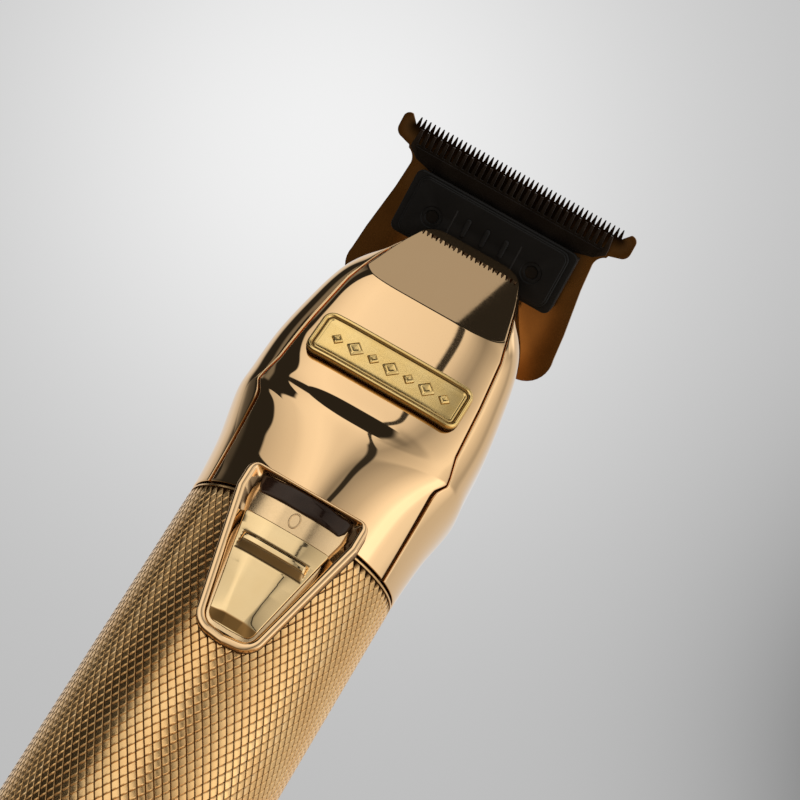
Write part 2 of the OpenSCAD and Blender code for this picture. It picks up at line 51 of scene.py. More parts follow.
GRIP_R = 17.5
GRIP_WALL = 1.5
RIM_Z = 106.0
CAP_H = 5.0
COVER_WALL = 1.4
SEAM_GAP = 0.3

BLADE_W, BLADE_L = 43.2, 30.8
BLADE_LEAN = math.radians(35)
FIXED_TEETH, CUTTER_TEETH = 46, 31
TOOTH_HALF = 19.2
TIP_Y, TIP_H = 1.1, 74.35
SEAT_GAP = 0.6

CREASE_H = 41.0
NOSE_LEAN = math.radians(35)
ARCH_H = 59.2
ARCH_DROP = 3.6
FLANK_H = 56.0

PLATE_W, PLATE_H = 25.7, 8.3
PLATE_LEAN = math.radians(16.7)
PLATE_MID = 27.2
PLATE_LIFT = 0.2

BEZEL_Y, PANEL_Y = -18.9, -18.3
BEZEL_TOP = 3.8  # the part's is 3.7
BEZEL_HALF = 9.95
SWITCH_FLAT = 1.9  # not in the part, like the radius below
SWITCH_R = 12.0

HALF_WIDTH = [(0, 17.5), (4, 17.7), (9, 18.15), (12.5, 18.8), (16, 19.3), (19, 19), (26, 18.6),
    (33, 17.65), (39.5, 16.5), (45.5, 14.9), (51, 12.3), (57, 9.4), (61, 7.8)]
FRONT_DEPTH = [(0, 17.5), (4, 17.9), (9, 18.6), (13, 18.8), (15, 18.6), (16.5, 18.1), (18.5, 17.1),
    (22, 16.1), (30, 13.7), (41, 10.6), (61, 5)]
BACK_DEPTH = [(0, 17.5), (8, 17.9), (16, 18.4), (20, 18.1), (30, 17.5), (40, 16.9), (61, 15.6)]
MIDDLE_Y = [(0, 0), (20, 0), (30, 1.2), (41, 4.2), (50, 7), (61, 9.5)]
FRONT_POWER = [(0, 2), (6, 2.1), (11, 2.4), (14.5, 2.9), (16.5, 3.5), (20, 4.3), (26, 5.2),
    (34, 5.8), (41, 6), (45, 4.4), (50, 3.1), (61, 2.6)]
BACK_POWER = [(0, 2), (12, 2.1), (30, 2.4), (61, 2.8)]
SEAM_X = [(0, 14.8), (13.5, 14.9), (14.5, 15.1), (16.2, 16.1), (17.5, 15.9), (20.7, 15.1),
    (30, 14.4), (39, 13.4), (41.5, 12.8), (50, 10.9), (57, 9.1), (61, 7.4)]


# --- curves and the head's skin ---

CURVE_STEP = 0.05


def smooth_curve(points, soften):
    """A function through the points, softened over that many mm so that reflections flow."""
    xs, ys = np.array(points, float).T
    slope = np.empty(len(xs))
    slope[0] = (ys[1] - ys[0]) / (xs[1] - xs[0])
    slope[-1] = (ys[-1] - ys[-2]) / (xs[-1] - xs[-2])
    slope[1:-1] = (ys[2:] - ys[:-2]) / (xs[2:] - xs[:-2])
    step = CURVE_STEP
    grid = np.arange(xs[0], xs[-1] + step / 2, step)
    i = np.clip(np.searchsorted(xs, grid) - 1, 0, len(xs) - 2)
    w = xs[i + 1] - xs[i]
    t = (grid - xs[i]) / w
    value = ((2 * t**3 - 3 * t**2 + 1) * ys[i] + (t**3 - 2 * t**2 + t) * w * slope[i]
        + (3 * t**2 - 2 * t**3) * ys[i + 1] + (t**3 - t**2) * w * slope[i + 1])
    reach = int(4 * soften / step)
    if reach:
        lead = np.arange(1, reach + 1) * step
        padded = np.concatenate([value[0] - slope[0] * lead[::-1], value,
            value[-1] + slope[-1] * lead])
        kernel = np.exp(-0.5 * (np.arange(-reach, reach + 1) * step / soften) ** 2)
        value = np.convolve(padded, kernel / kernel.sum(), "valid")
    return lambda x: np.interp(x, grid, value)


half_width = smooth_curve(HALF_WIDTH, 0.8)
front_depth = smooth_curve(FRONT_DEPTH, 0.9)
back_depth = smooth_curve(BACK_DEPTH, 1.2)
middle_y = smooth_curve(MIDDLE_Y, 1.2)
front_power = smooth_curve(FRONT_POWER, 1.2)
back_power = smooth_curve(BACK_POWER, 1.2)
NOSE_START = -float(smooth_curve(FRONT_DEPTH, 0)(CREASE_H))


def seam_x(h):
    return np.interp(h, *np.array(SEAM_X, float).T)


def nose_y(h):
    return NOSE_START + (h - CREASE_H) * math.tan(NOSE_LEAN)


def soft_max(a, b, k):
    """The larger of two, with a fillet where they are within k of each other."""
    mix = np.clip(0.5 + 0.5 * (a - b) / k, 0, 1)
    return b + (a - b) * mix + k * mix * (1 - mix)


def skin_radius(phi, h, inset):
    """The head's outline at height h is a superellipse, its front half unlike its back half."""
    front = np.cos(phi) > 0
    w = half_width(h) - inset
    m = middle_y(h)
    d = np.where(front, front_depth(h) + m, back_depth(h) - m) - inset
    n = np.where(front, front_power(h), back_power(h))
    return (np.abs(np.sin(phi) / w) ** n + np.abs(np.cos(phi) / d) ** n) ** (-1 / n)


def skin_y(phi, h, inset):
    return middle_y(h) - skin_radius(phi, h, inset) * np.cos(phi)


CREASE_SOFT = 0.06
SHOULDER_H, SHOULDER_GAP = 15.5, 0.22  # the seam is that much wider below the shoulder


def at_rim(x, y, h):
    """Points in the part's frame, h counted from the grip's top rim."""
    return np.stack(np.broadcast_arrays(x, y, RIM_Z + h), -1)


def head_skin(phi, h, inset=0.0):
    """Points of the head's skin at angle phi from the front and height h, moved in by inset."""
    r = skin_radius(phi, h, inset)
    nose = nose_y(h) + inset / math.cos(NOSE_LEAN)
    y = soft_max(middle_y(h) - r * np.cos(phi), nose, CREASE_SOFT)
    return at_rim(r * np.sin(phi), y, h)


def seam_angle(h, way):
    """Angle of a cover's edge from the front: the seam, less or more half the gap."""
    gap = SEAM_GAP + SHOULDER_GAP * np.clip((SHOULDER_H - h) / 1.5, 0, 1)
    x = seam_x(h) + way * gap / 2
    w = half_width(h)
    n = front_power(h)
    d = front_depth(h) + middle_y(h)
    return np.arctan2(x, d * (1 - (x / w) ** n) ** (1 / n))


# --- mesh building ---

def set_painted_shade(mesh, painted_shade):
    """Stores painted shade for each point, by how deep in a groove or a gap it lies, for its finish
    to darken it.
    """
    mesh.attributes.new("painted_shade", "FLOAT", "POINT").data.foreach_set("value", np.asarray(painted_shade, float))


def add_object(name, mesh, sharp=None):
    """An object in the scene. Its faces are smooth, with edges over sharp degrees kept."""
    obj = bpy.data.objects.new(name, mesh)
    bpy.context.scene.collection.objects.link(obj)
    for p in mesh.polygons:
        p.use_smooth = True
    if sharp is not None:
        mesh.set_sharp_from_angle(angle=math.radians(sharp))
    return obj


def make_mesh(name, points, faces, painted_shade=None, sharp=None):
    """A mesh object from points in mm."""
    mesh = bpy.data.meshes.new(name)
    metres = (np.asarray(points, float) * MM).tolist()
    mesh.from_pydata(metres, [], [tuple(map(int, f)) for f in faces])
    mesh.validate()
    bm = bmesh.new()
    bm.from_mesh(mesh)
    bmesh.ops.recalc_face_normals(bm, faces=bm.faces)
    bm.to_mesh(mesh)
    bm.free()
    obj = add_object(name, mesh, sharp)
    if painted_shade is not None:
        set_painted_shade(mesh, painted_shade)
    return obj


def quads(rows, cols, start=0, closed=False):
    """Quads of a grid of points, rows by cols, the columns joined round if closed."""
    span = cols if closed else cols - 1
    i, j = np.meshgrid(np.arange(rows - 1), np.arange(span), indexing="ij")
    a = start + i * cols + j
    b = start + i * cols + (j + 1) % cols
    return np.stack([a, b, b + cols, a + cols], -1).reshape(-1, 4)


def shell(outer, inner):
    """A closed patch with an outer skin, an inner skin and its edges: points, faces and painted
    shade, full on the inner skin.
    """
    rows, cols = outer.shape[:2]
    size = rows * cols
    points = np.concatenate([outer.reshape(-1, 3), inner.reshape(-1, 3)])
    front = quads(rows, cols)
    back = quads(rows, cols, size)[:, ::-1]
    n = np.arange(size).reshape(rows, cols)
    rim = [*n[0], *n[1:, -1], *n[-1, -2::-1], *n[-2:0:-1, 0]]
    edge = [(a, a + size, b + size, b) for a, b in zip(rim, rim[1:] + rim[:1])]
    return points, [*front, *back, *edge], np.repeat([0.0, 1.0], size)


EDGE_R = 0.16
EDGE_STEPS = np.array([0.0, 0.02, 0.06, 0.1])
CREASE_BAND, WIDEST_BAND = 0.17, 1.0
CREASE_TO_ARCH = 1.4
HALVINGS = 40
FRONT_COLS, FRONT_ROWS, CREASE_ROWS, NOSE_ROWS = 171, 185, 9, 60
REAR_COLS, REAR_ROWS = 241, 150
REAR_FROM, REAR_SPAN = 50, 260  # degrees from the front, near enough to find the seat's height


def edge_inset(distance):
    """How far a rounded edge falls back at a distance from it."""
    gap = EDGE_R - np.minimum(distance, EDGE_R)
    return EDGE_R - np.sqrt(np.maximum(EDGE_R**2 - gap**2, 0))


def cover_columns(first, last, count):
    """Shares from seam to seam, close together at both, and their distances from a seam."""
    n = len(EDGE_STEPS)
    shares = np.concatenate([np.full(n, first), np.linspace(first, last, count), np.full(n, last)])
    return shares, np.concatenate([EDGE_STEPS, np.full(count, EDGE_R), EDGE_STEPS[::-1]])


def cover_shell(phi_of, top, off, *middle):
    """A cover with rounded edges: its middle rows, and close rows at the grip and at the top."""
    steps = EDGE_STEPS[:, None]
    h = np.concatenate([SEAM_GAP + steps + 0 * top, *middle, top - steps[::-1]])
    phi = phi_of(h)
    away = np.minimum(np.minimum(h - SEAM_GAP, top - h), off)
    return shell(head_skin(phi, h, edge_inset(away)), head_skin(phi, h, COVER_WALL))


def front_cover_mesh():
    """The front cover, its rows following the crease under the blade."""
    u, off = cover_columns(-1, 1, FRONT_COLS)

    def phi_of(h):
        return u * (seam_angle(h, -1) - off / GRIP_R)

    top = ARCH_H - ARCH_DROP * np.abs(u) ** 5
    lo, hi = np.full(len(u), 30.0), top.copy()
    for _ in range(HALVINGS):
        mid = (lo + hi) / 2
        below = skin_y(phi_of(mid), mid, 0.0) > nose_y(mid)
        lo = np.where(below, mid, lo)
        hi = np.where(below, hi, mid)
    crease = np.minimum((lo + hi) / 2, top - CREASE_TO_ARCH)
    x = head_skin(phi_of(crease), crease)[:, 0]
    steep = np.abs(np.gradient(crease) / np.maximum(np.abs(np.gradient(x)), 1e-3))
    band = np.minimum(CREASE_BAND * np.sqrt(1 + steep**2), WIDEST_BAND)
    start = SEAM_GAP + EDGE_R
    lower = start + (crease - band - start) * np.linspace(0, 1, FRONT_ROWS)[:, None]
    across = crease + band * np.linspace(-1, 1, CREASE_ROWS)[1:-1, None]
    nose = crease + band
    upper = nose + (top - EDGE_R - crease - band) * np.linspace(0, 1, NOSE_ROWS)[:, None]
    return cover_shell(phi_of, top, off, lower, across, upper)


def seat_height(phi):
    """Height at which the skin meets the slanted blade seat."""
    h = np.full(len(phi), 53.0)
    for _ in range(12):
        y = head_skin(phi, h)[:, 1]
        reach = TIP_H - (y - TIP_Y + SEAT_GAP / math.cos(BLADE_LEAN)) / math.tan(BLADE_LEAN)
        h = np.minimum(FLANK_H, reach)
    return h


def rear_cover_mesh():
    """The rear cover, from seam to seam round the back, cut off along the blade seat."""
    u, off = cover_columns(0, 1, REAR_COLS)
    top = seat_height(np.radians(REAR_FROM + REAR_SPAN * u))
    start = SEAM_GAP + EDGE_R

    def phi_of(h):
        first = seam_angle(h, 1) + off / GRIP_R
        return first + (math.tau - 2 * first) * u

    rows = start + (top - EDGE_R - start) * np.linspace(0, 1, REAR_ROWS)[:, None]
    return cover_shell(phi_of, top, off, rows)


# --- grip ---

KNURL_STARTS, KNURL_ROWS = 78, 47
KNURL_DEEP, KNURL_CROSS = 0.25, 0.15
DEEP_T, DEEP_CUT = np.array([[0.0, 0.11, 0.5, 0.89, 1.0], [1.0, 0.2, 0.0, 0.2, 1.0]])
CROSS_T, CROSS_CUT = np.array([[0.0, 0.14, 0.86, 1.0], [1.0, 0.1, 0.1, 1.0]])
LATTICE = 12  # steps along a diamond's side, a multiple of both counts of spans
KEY_ROWS = 10000  # more than the lattice's rows
KNURL_END = 0.55


def knurl_mesh():
    """The grip: a tube whose outside two sets of grooves cut into diamonds, one set deeper."""
    z0, z1 = CAP_H + KNURL_END, RIM_Z - KNURL_END
    spans = len(DEEP_T) - 1, len(CROSS_T) - 1
    steps = LATTICE // spans[0], LATTICE // spans[1]
    around = 2 * KNURL_STARTS
    root, band, bore = GRIP_R - KNURL_DEEP, GRIP_R - 0.06, GRIP_R - GRIP_WALL
    j, k = np.meshgrid(np.arange(1, 2 * KNURL_ROWS), np.arange(KNURL_STARTS), indexing="ij")
    i, j = (2 * k + j % 2).reshape(-1, 1, 1), j.reshape(-1, 1, 1)
    a, b = np.meshgrid(np.arange(spans[0] + 1), np.arange(spans[1] + 1), indexing="ij")
    angle = (i + DEEP_T[a] - CROSS_T[b]) * math.pi / KNURL_STARTS
    z = z0 + (j - 1 + DEEP_T[a] + CROSS_T[b]) * (z1 - z0) / (2 * KNURL_ROWS)
    crossing = KNURL_CROSS * CROSS_CUT[b] * (1 - DEEP_CUT[a])
    r = GRIP_R - KNURL_DEEP * DEEP_CUT[a] - crossing + 0 * z
    place = np.stack([r * np.sin(angle), -r * np.cos(angle), z], -1).reshape(-1, 3)

    def key(i, j, a=0, b=0):
        """One number for a point of the lattice, the same from every diamond that shares it."""
        return (LATTICE * i + a - b) % (LATTICE * around) * KEY_ROWS + LATTICE * j + a + b

    names, first, number = np.unique(key(i, j - 1, a * steps[0], b * steps[1]).reshape(-1),
        return_index=True, return_inverse=True)
    points = list(place[first])
    lookup = dict(zip(names.tolist(), range(len(names))))
    cell = number.reshape(-1, spans[0] + 1, spans[1] + 1)
    faces = [*np.stack([cell[:, :-1, :-1], cell[:, 1:, :-1], cell[:, 1:, 1:], cell[:, :-1, 1:]],
        -1).reshape(-1, 4)]

    def edge(i, j, side, way):
        """Points along a groove from the corner at i, j to the next, sideways and up or down."""
        if side * way > 0:
            return [lookup[key(i, j, way * m * steps[0])] for m in range(spans[0] + 1)]
        return [lookup[key(i, j, 0, way * m * steps[1])] for m in range(spans[1] + 1)]

    def ring(r, z):
        start = len(points)
        for m in range(around):
            a = math.pi * m / KNURL_STARTS
            points.append((r * math.sin(a), -r * math.cos(a), z))
        return list(range(start, start + around))

    ends = []
    for end, z, way in ((0, z0, 1), (2 * KNURL_ROWS, z1, -1)):
        loop = ring(root, z)
        for m in range(1, around, 2):
            loop[m] = lookup[key(m, end)]
        for m in range(1, around, 2):
            for side in (-1, 1):
                faces.append([*edge(m, end, side, way), loop[(m + side) % around]])
        ends.append(loop)
    low = [(root, CAP_H + 0.5), (band, CAP_H + 0.46), (band, CAP_H + 0.22),
        (GRIP_R - 0.28, CAP_H), (bore, CAP_H)]
    high = [(bore, RIM_Z), (GRIP_R - 0.3, RIM_Z), (band, RIM_Z - 0.2),
        (band, RIM_Z - 0.44), (root, RIM_Z - 0.5)]
    rings = [ends[0], *[ring(r, z) for r, z in low + high], ends[1]]
    for lower, upper in zip(rings, rings[1:]):
        for m in range(around):
            o = (m + 1) % around
            faces.append((lower[m], upper[m], upper[o], lower[o]))
    place = np.array(points)
    depth = (GRIP_R - np.hypot(place[:, 0], place[:, 1])) / KNURL_DEEP
    # painted shade in the grooves, darker the deeper a point lies
    return points, faces, np.clip((depth - 0.3) / 0.7, 0, 1) ** 1.5


# --- switch group ---

TINY, TINIER = 1e-9, 1e-12


def hull_2d(points):
    """Convex hull of 2-D points, anticlockwise."""
    pts = sorted(map(tuple, points))

    def half(seq):
        out = []
        for p in seq:
            while len(out) > 1 and ((out[-1][0] - out[-2][0]) * (p[1] - out[-2][1])
                    - (out[-1][1] - out[-2][1]) * (p[0] - out[-2][0])) <= TINIER:
                out.pop()
            out.append(p)
        return out[:-1]
    return np.array(half(pts) + half(pts[::-1]))


def hull_of_circles(circles, n=96):
    a = np.linspace(0, math.tau, n, endpoint=False)
    return hull_2d(np.concatenate([np.stack([x + r * np.cos(a), z + r * np.sin(a)], -1)
        for x, z, r in circles]))


def drop_outline(inset, top):
    """Drop-shaped outline of the bezel in x and h, moved in by inset."""
    def disc(x, h, r):
        left = max(r - inset, 0.25)
        return x - inset + r - left, h, left

    x, _, r = disc(BEZEL_HALF - 1.7, 0, 1.7)
    discs = [(x, top - r, r), disc(BEZEL_HALF - 1, -0.4, 1), disc(2, -18.3, 3.55),
        (0, -19.1, 3 - inset)]
    return hull_of_circles([(side * x, h, r) for x, h, r in discs for side in (-1, 1)])


def cast(outline, centre, angles):
    """Where rays from the centre at those angles leave a convex outline."""
    p = outline - centre
    q = np.roll(p, -1, axis=0)
    out = []
    for a in angles:
        d = np.array([math.cos(a), math.sin(a)])
        e = q - p
        den = d[0] * e[:, 1] - d[1] * e[:, 0]
        den = np.where(np.abs(den) < TINIER, TINIER, den)
        t = (p[:, 0] * e[:, 1] - p[:, 1] * e[:, 0]) / den
        s = (p[:, 0] * d[1] - p[:, 1] * d[0]) / den
        hit = (t > 0) & (s >= -TINY) & (s <= 1 + TINY)
        out.append(centre + d * t[hit].max())
    return np.array(out)


def half_wide(outline, heights):
    """Half widths of a convex outline at those heights, as a column."""
    return np.array([cast(outline, np.array([0.0, v]), [0.0])[0][0] for v in heights])[:, None]


DROP_CENTRE = np.array([0.0, -7.0])


def drop_angles(n):
    """Angles from the drop's centre, evenly spread along its outline."""
    outline = drop_outline(0.75, BEZEL_TOP)
    loop = np.concatenate([outline, outline[:1]])
    length = np.concatenate([[0], np.cumsum(np.linalg.norm(np.diff(loop, axis=0), axis=1))])
    at = np.linspace(0, length[-1], n, endpoint=False)
    x, h = np.interp(at, length, loop[:, 0]), np.interp(at, length, loop[:, 1])
    return np.arctan2(h - DROP_CENTRE[1], x - DROP_CENTRE[0])


DROP_ANGLES = drop_angles(420)


def drop_ring(inset, top, y):
    ring = cast(drop_outline(inset, top), DROP_CENTRE, DROP_ANGLES)
    return at_rim(ring[:, 0], y(ring) if callable(y) else y, ring[:, 1])


def support_y(ring):
    """Just outside the grip and the front cover, where the bezel stands on them."""
    radius = np.where(ring[:, 1] < 0.1, GRIP_R + 0.06, GRIP_R + 0.62)
    return -np.sqrt(np.maximum(radius**2 - ring[:, 0] ** 2, 1.0))


def loft(rings, painted_shade, capped=False):
    """Closed loops of equal length, each joined to the next; the ends joined or capped."""
    rows, cols = len(rings), len(rings[0])
    faces = [*quads(rows, cols, closed=True)]
    if capped:
        faces += [tuple(range(cols))[::-1], tuple(range((rows - 1) * cols, rows * cols))]
    else:
        faces += [(j + (rows - 1) * cols, (j + 1) % cols + (rows - 1) * cols, (j + 1) % cols, j)
            for j in range(cols)]
    return np.array(rings).reshape(-1, 3), faces, np.repeat(painted_shade, cols)


def switch_fall(x):
    """How far the panel, the window and the slide curve back from the middle."""
    return np.maximum(np.abs(x) - SWITCH_FLAT, 0) ** 2 / (2 * SWITCH_R)


BEZEL_RIM = [(0.0, 0.45), (0.03, 0.25), (0.12, 0.12), (0.26, 0.045), (0.42, 0.01), (0.58, 0.0),
    (0.74, 0.006), (0.9, 0.035), (1.05, 0.09), (1.18, 0.18), (1.3, 0.32)]
FOOT_Y = PANEL_Y + 0.12


def bezel_mesh():
    """The raised frame round the switch: a rounded rim and a wall that slopes in to the panel."""
    rings = [drop_ring(0.0, BEZEL_TOP, support_y)]
    rings += [drop_ring(inset, BEZEL_TOP - inset * 0.42, BEZEL_Y + fall)
        for inset, fall in BEZEL_RIM]
    wide = np.clip((rings[-1][:, 2:] - RIM_Z + 9.5) / 8, 0, 1)
    wide = wide * wide * (3 - 2 * wide)
    foot = drop_ring(1.52, BEZEL_TOP - 0.6, FOOT_Y)
    foot += (drop_ring(2.75, BEZEL_TOP - 0.66, FOOT_Y) - foot) * wide
    foot[:, 1] += switch_fall(foot[:, 0])
    deep = foot.copy()
    deep[:, 1] = np.maximum(foot[:, 1] + 0.4, support_y(foot[:, [0, 2]] - [0, RIM_Z]) - 0.05)
    rings += [rings[-1] + (foot - rings[-1]) * 0.5, foot, deep]
    # painted shade where the bezel stands on the cover, and at the foot of its inner wall
    return loft(rings, [1.0, 0.2] + [0.0] * (len(BEZEL_RIM) - 1) + [0.05, 0.6, 1.0])


ZERO_H, ZERO_TALL, ZERO_WIDE = -1.2, 1.11, 0.76
ZERO_WIRE, ZERO_FLAT = 0.14, 0.12


def switch_plate_mesh():
    """The panel behind the slide, with a raised ring in its upper part."""
    top, low = BEZEL_TOP - 0.66, -20.45
    h = low + (top - low) * np.linspace(0, 1, 121)[:, None]
    x = half_wide(drop_outline(1.45, BEZEL_TOP - 0.5), h[:, 0]) * np.linspace(-1, 1, 121)
    fall = switch_fall(x)
    points, faces, painted_shade = shell(at_rim(x, PANEL_Y + fall, h), at_rim(x, PANEL_Y + 0.45 + fall, h))
    t = np.linspace(0, math.tau, 72, endpoint=False)
    wire = []
    for a in np.linspace(0, math.tau, 12, endpoint=False):
        out = ZERO_WIRE * math.cos(a)
        wire.append(at_rim((ZERO_WIDE + out) * np.cos(t), PANEL_Y + 0.02 - ZERO_FLAT * math.sin(a),
            ZERO_H + (ZERO_TALL + out) * np.sin(t)))
    more, joined, _ = loft(wire, [0.0] * len(wire))
    faces += [tuple(k + len(points) for k in f) for f in joined]
    # painted shade: full on the inner skin, a little on the raised ring
    return np.concatenate([points, more]), faces, np.concatenate([painted_shade, np.full(len(more), 0.15)])


LENS_CENTRE = np.array([0.0, 1.6])
LENS_CORNERS = [(6.3, 0.65), (6.75, 1.3), (7.05, 2.7)]
LENS_EDGE = [(0.0, -0.2), (0.0, 0.2), (0.03, 0.29), (0.1, 0.35), (0.22, 0.39)]
LENS_DOME = [0.9, 0.75, 0.6, 0.45, 0.3, 0.15, 0.01]


def window_mesh():
    """The smoked lens: a bar with narrowed lower corners, softened edges and a domed front."""
    outline = hull_of_circles([(side * x, h, 0.4) for x, h in LENS_CORNERS for side in (-1, 1)])
    angles = np.unwrap(np.arctan2(outline[:, 1] - LENS_CENTRE[1], outline[:, 0]))
    angles = np.interp(np.linspace(0, 1, 360, endpoint=False), np.linspace(0, 1, len(angles) + 1),
        np.append(angles, angles[0] + math.tau))
    edge = cast(outline, LENS_CENTRE, angles) - LENS_CENTRE
    inset, out = LENS_EDGE[-1]
    shape = [(inset, 1.0, out) for inset, out in LENS_EDGE]
    shape += [(inset, scale, out + 0.1 * (1 - scale**4)) for scale in LENS_DOME]
    rings = []
    for inset, scale, out in shape:
        x, h = (LENS_CENTRE + np.sign(edge) * np.maximum(np.abs(edge) - inset, 0.0) * scale).T
        rings.append(at_rim(x, PANEL_Y - out + switch_fall(x), h))
    return loft(rings, [0.0] * len(rings), capped=True)


SLIDE_TOP, SLIDE_LOW = -3.15, -19.85
SLIDE_SPINE = [(-3.1, 0.62), (-4, 0.74), (-5.2, 0.98), (-6.3, 1.18), (-8.9, 1.0), (-9.4, 1.12),
    (-11, 1.3), (-13, 1.38), (-15, 1.36), (-17, 1.22), (-17.9, 1.1), (-18.1, 1.04), (-19.7, 0.24)]
SLIDE_FACET = [(-3.1, 5.0), (-8.7, 4.1), (-17.8, 2.2), (-19.8, 1.7)]
FINGER_BAR = [(-6.2, 0.0), (-6.4, 0.34), (-6.6, 0.62), (-6.85, 0.8), (-7.15, 0.86), (-7.5, 0.8),
    (-7.75, 0.68), (-8.9, -0.12), (-9.05, 0.0)]
FINGER_BAR_HALF = 5.35
# painted shade along the finger bar's edges and in the shadow under it
BAR_SHADE = [(-5.95, 0.0), (-6.15, 0.7), (-6.4, 0.0), (-7.6, 0.0), (-7.75, 0.6), (-7.95, 0.3),
    (-8.7, 0.35), (-8.95, 0.9), (-9.2, 0.0)]


def slide_mesh():
    """The slide button: a long facet with bevelled flanks, crossed by a finger bar."""
    outline = hull_of_circles([(side * x, h, r) for x, h, r in ((6.45, SLIDE_TOP - 0.4, 0.4),
        (2.3, SLIDE_LOW + 1.6, 1.5), (0, SLIDE_LOW + 1.2, 1.2)) for side in (-1, 1)], 180)
    marks = np.concatenate([
        SLIDE_LOW + 1.6 * (1 - np.cos(np.linspace(0.05, math.pi / 2, 22))),
        np.linspace(SLIDE_LOW + 1.68, -9.8, 50), np.linspace(-9.7, -5.9, 77),
        np.linspace(-5.8, -3.7, 14),
        SLIDE_TOP - 0.4 + 0.4 * np.sin(np.linspace(0.1, math.pi / 2 - 0.05, 8))])
    h = marks[:, None]
    wide = half_wide(outline, marks)
    across = np.concatenate([-1 + 0.03 * np.linspace(0, 1, 4)[:-1], np.linspace(-0.97, 0.97, 120),
        1 - 0.03 * np.linspace(1, 0, 4)[1:]])
    x = wide * across

    def profile(knots):
        return np.interp(h, *np.array(sorted(knots)).T)

    spine = profile(SLIDE_SPINE)
    facet = np.minimum(profile(SLIDE_FACET) * 0.86, wide * 0.85)
    edge = np.minimum(spine * 0.88, 0.86)
    flank = edge + (spine - edge) * np.clip((wide - np.abs(x)) / (wide - facet), 0, 1.2)
    body = -soft_max(-spine - 0 * x, -flank, 0.1)
    rim = np.clip(1 - (wide - np.abs(x)) / 0.12, 0, 1) ** 2 * 0.1
    end = np.clip(1 - (SLIDE_TOP - h) / 0.18, 0, 1) ** 2 * 0.12
    bar = profile(FINGER_BAR) * np.clip((FINGER_BAR_HALF - np.abs(x)) / 0.45, 0, 1) ** 0.5
    out = body - rim - end + bar - 0.5 * switch_fall(x)
    points, faces, painted_shade = shell(at_rim(x, PANEL_Y - out, h),
        at_rim(x, PANEL_Y - 0.2 + switch_fall(x), h))
    painted_shade[:x.size] = (profile(BAR_SHADE) * (np.abs(x) < FINGER_BAR_HALF + 0.05)).reshape(-1)
    return points, faces, painted_shade


# --- nameplate ---

def on_cover(x, z, out):
    """Points of the nameplate: x across, z up the leaning plate, out from the cover."""
    half = half_width(PLATE_MID)
    deep = front_depth(PLATE_MID) + middle_y(PLATE_MID)
    power = front_power(PLATE_MID)
    fall = deep * (1 - (1 - (np.abs(x) / half) ** power) ** (1 / power)) * math.cos(PLATE_LEAN)
    y = fall - PLATE_LIFT - out
    c, s = math.cos(PLATE_LEAN), math.sin(PLATE_LEAN)
    return at_rim(x, -front_depth(PLATE_MID) + y * c + z * s, PLATE_MID - y * s + z * c)


PLATE_CORNER = 1.8
PLATE_PROFILE = [(0.0, 0.06), (0.0, 0.8), (0.04, 0.95), (0.14, 1.06), (0.3, 1.1), (0.48, 1.08),
    (0.62, 0.98), (0.7, 0.86), (0.78, 0.74), (0.86, 0.68), (0.95, 0.7), (1.03, 0.78), (1.14, 0.8),
    (1.24, 0.74), (1.32, 0.66), (1.45, 0.64)]
# painted shade by ring of the profile: at the plate's foot and in the step round its field
PLATE_SHADE = {0: 1.0, 1: 0.1, 7: 0.15, 8: 0.6, 9: 0.9, 10: 0.6, 11: 0.1}
PLATE_STRIPS = 8


def plate_ring(inset):
    """Rounded rectangle, its points paired above and below so that strips can join them."""
    r = max(PLATE_CORNER - inset, 0.25)
    w, h = PLATE_W / 2 - inset, PLATE_H / 2 - inset
    a = np.linspace(0, math.pi / 2, 14)
    arc_x, arc_z = w - r + r * np.cos(a), h - r + r * np.sin(a)
    flat = np.linspace(w - r, -(w - r), 60)[1:-1]
    x = np.concatenate([arc_x, flat, -arc_x[::-1]])
    z = np.concatenate([arc_z, np.full(len(flat), h), arc_z[::-1]])
    return np.concatenate([np.stack([x, z], -1), np.stack([x[::-1], -z[::-1]], -1)])


def nameplate_mesh():
    """The plate's stepped rim, and strips across its field and its back."""
    rings = [on_cover(*plate_ring(inset).T, out) for inset, out in PLATE_PROFILE]
    rows, cols = len(rings), len(rings[0])
    points = list(np.array(rings).reshape(-1, 3))
    faces = [*quads(rows, cols, closed=True)]
    half = cols // 2
    for layer, flip in ((rows - 1, False), (0, True)):
        start = layer * cols
        inset, out = PLATE_PROFILE[layer]
        flat = plate_ring(inset)
        grid = [[start + k] for k in range(half)]
        for k in range(half):
            for m in range(1, PLATE_STRIPS if 0 < k < half - 1 else 1):
                x, z = flat[k]
                points.append(on_cover(x, z - 2 * z * m / PLATE_STRIPS, out))
                grid[k].append(len(points) - 1)
            grid[k].append(start + cols - 1 - k)
        for one, two in zip(grid[:-1], grid[1:]):
            strip = [(one[0], *two, *one[:0:-1])]
            if len(one) == len(two):
                strip = [(one[m], two[m], two[m + 1], one[m + 1]) for m in range(PLATE_STRIPS)]
            faces.extend(f[::-1] if flip else f for f in strip)
    painted_shade = np.zeros(len(points))
    for row, share in PLATE_SHADE.items():
        painted_shade[row * cols:(row + 1) * cols] = share
    return points, faces, painted_shade


DIAMOND_PITCH = 3.05
DIAMOND_BIG, DIAMOND_SMALL = 1.42, 0.98
# rings of a diamond: scale, height out, and painted shade, darkest at its foot
DIAMOND_STEPS = [(1.0, 0.55, 1.0), (1.0, 0.78, 0.3), (0.86, 0.92, 0.0), (0.62, 0.98, 0.0),
    (0.4, 0.9, 0.1), (0.25, 0.88, 0.1)]


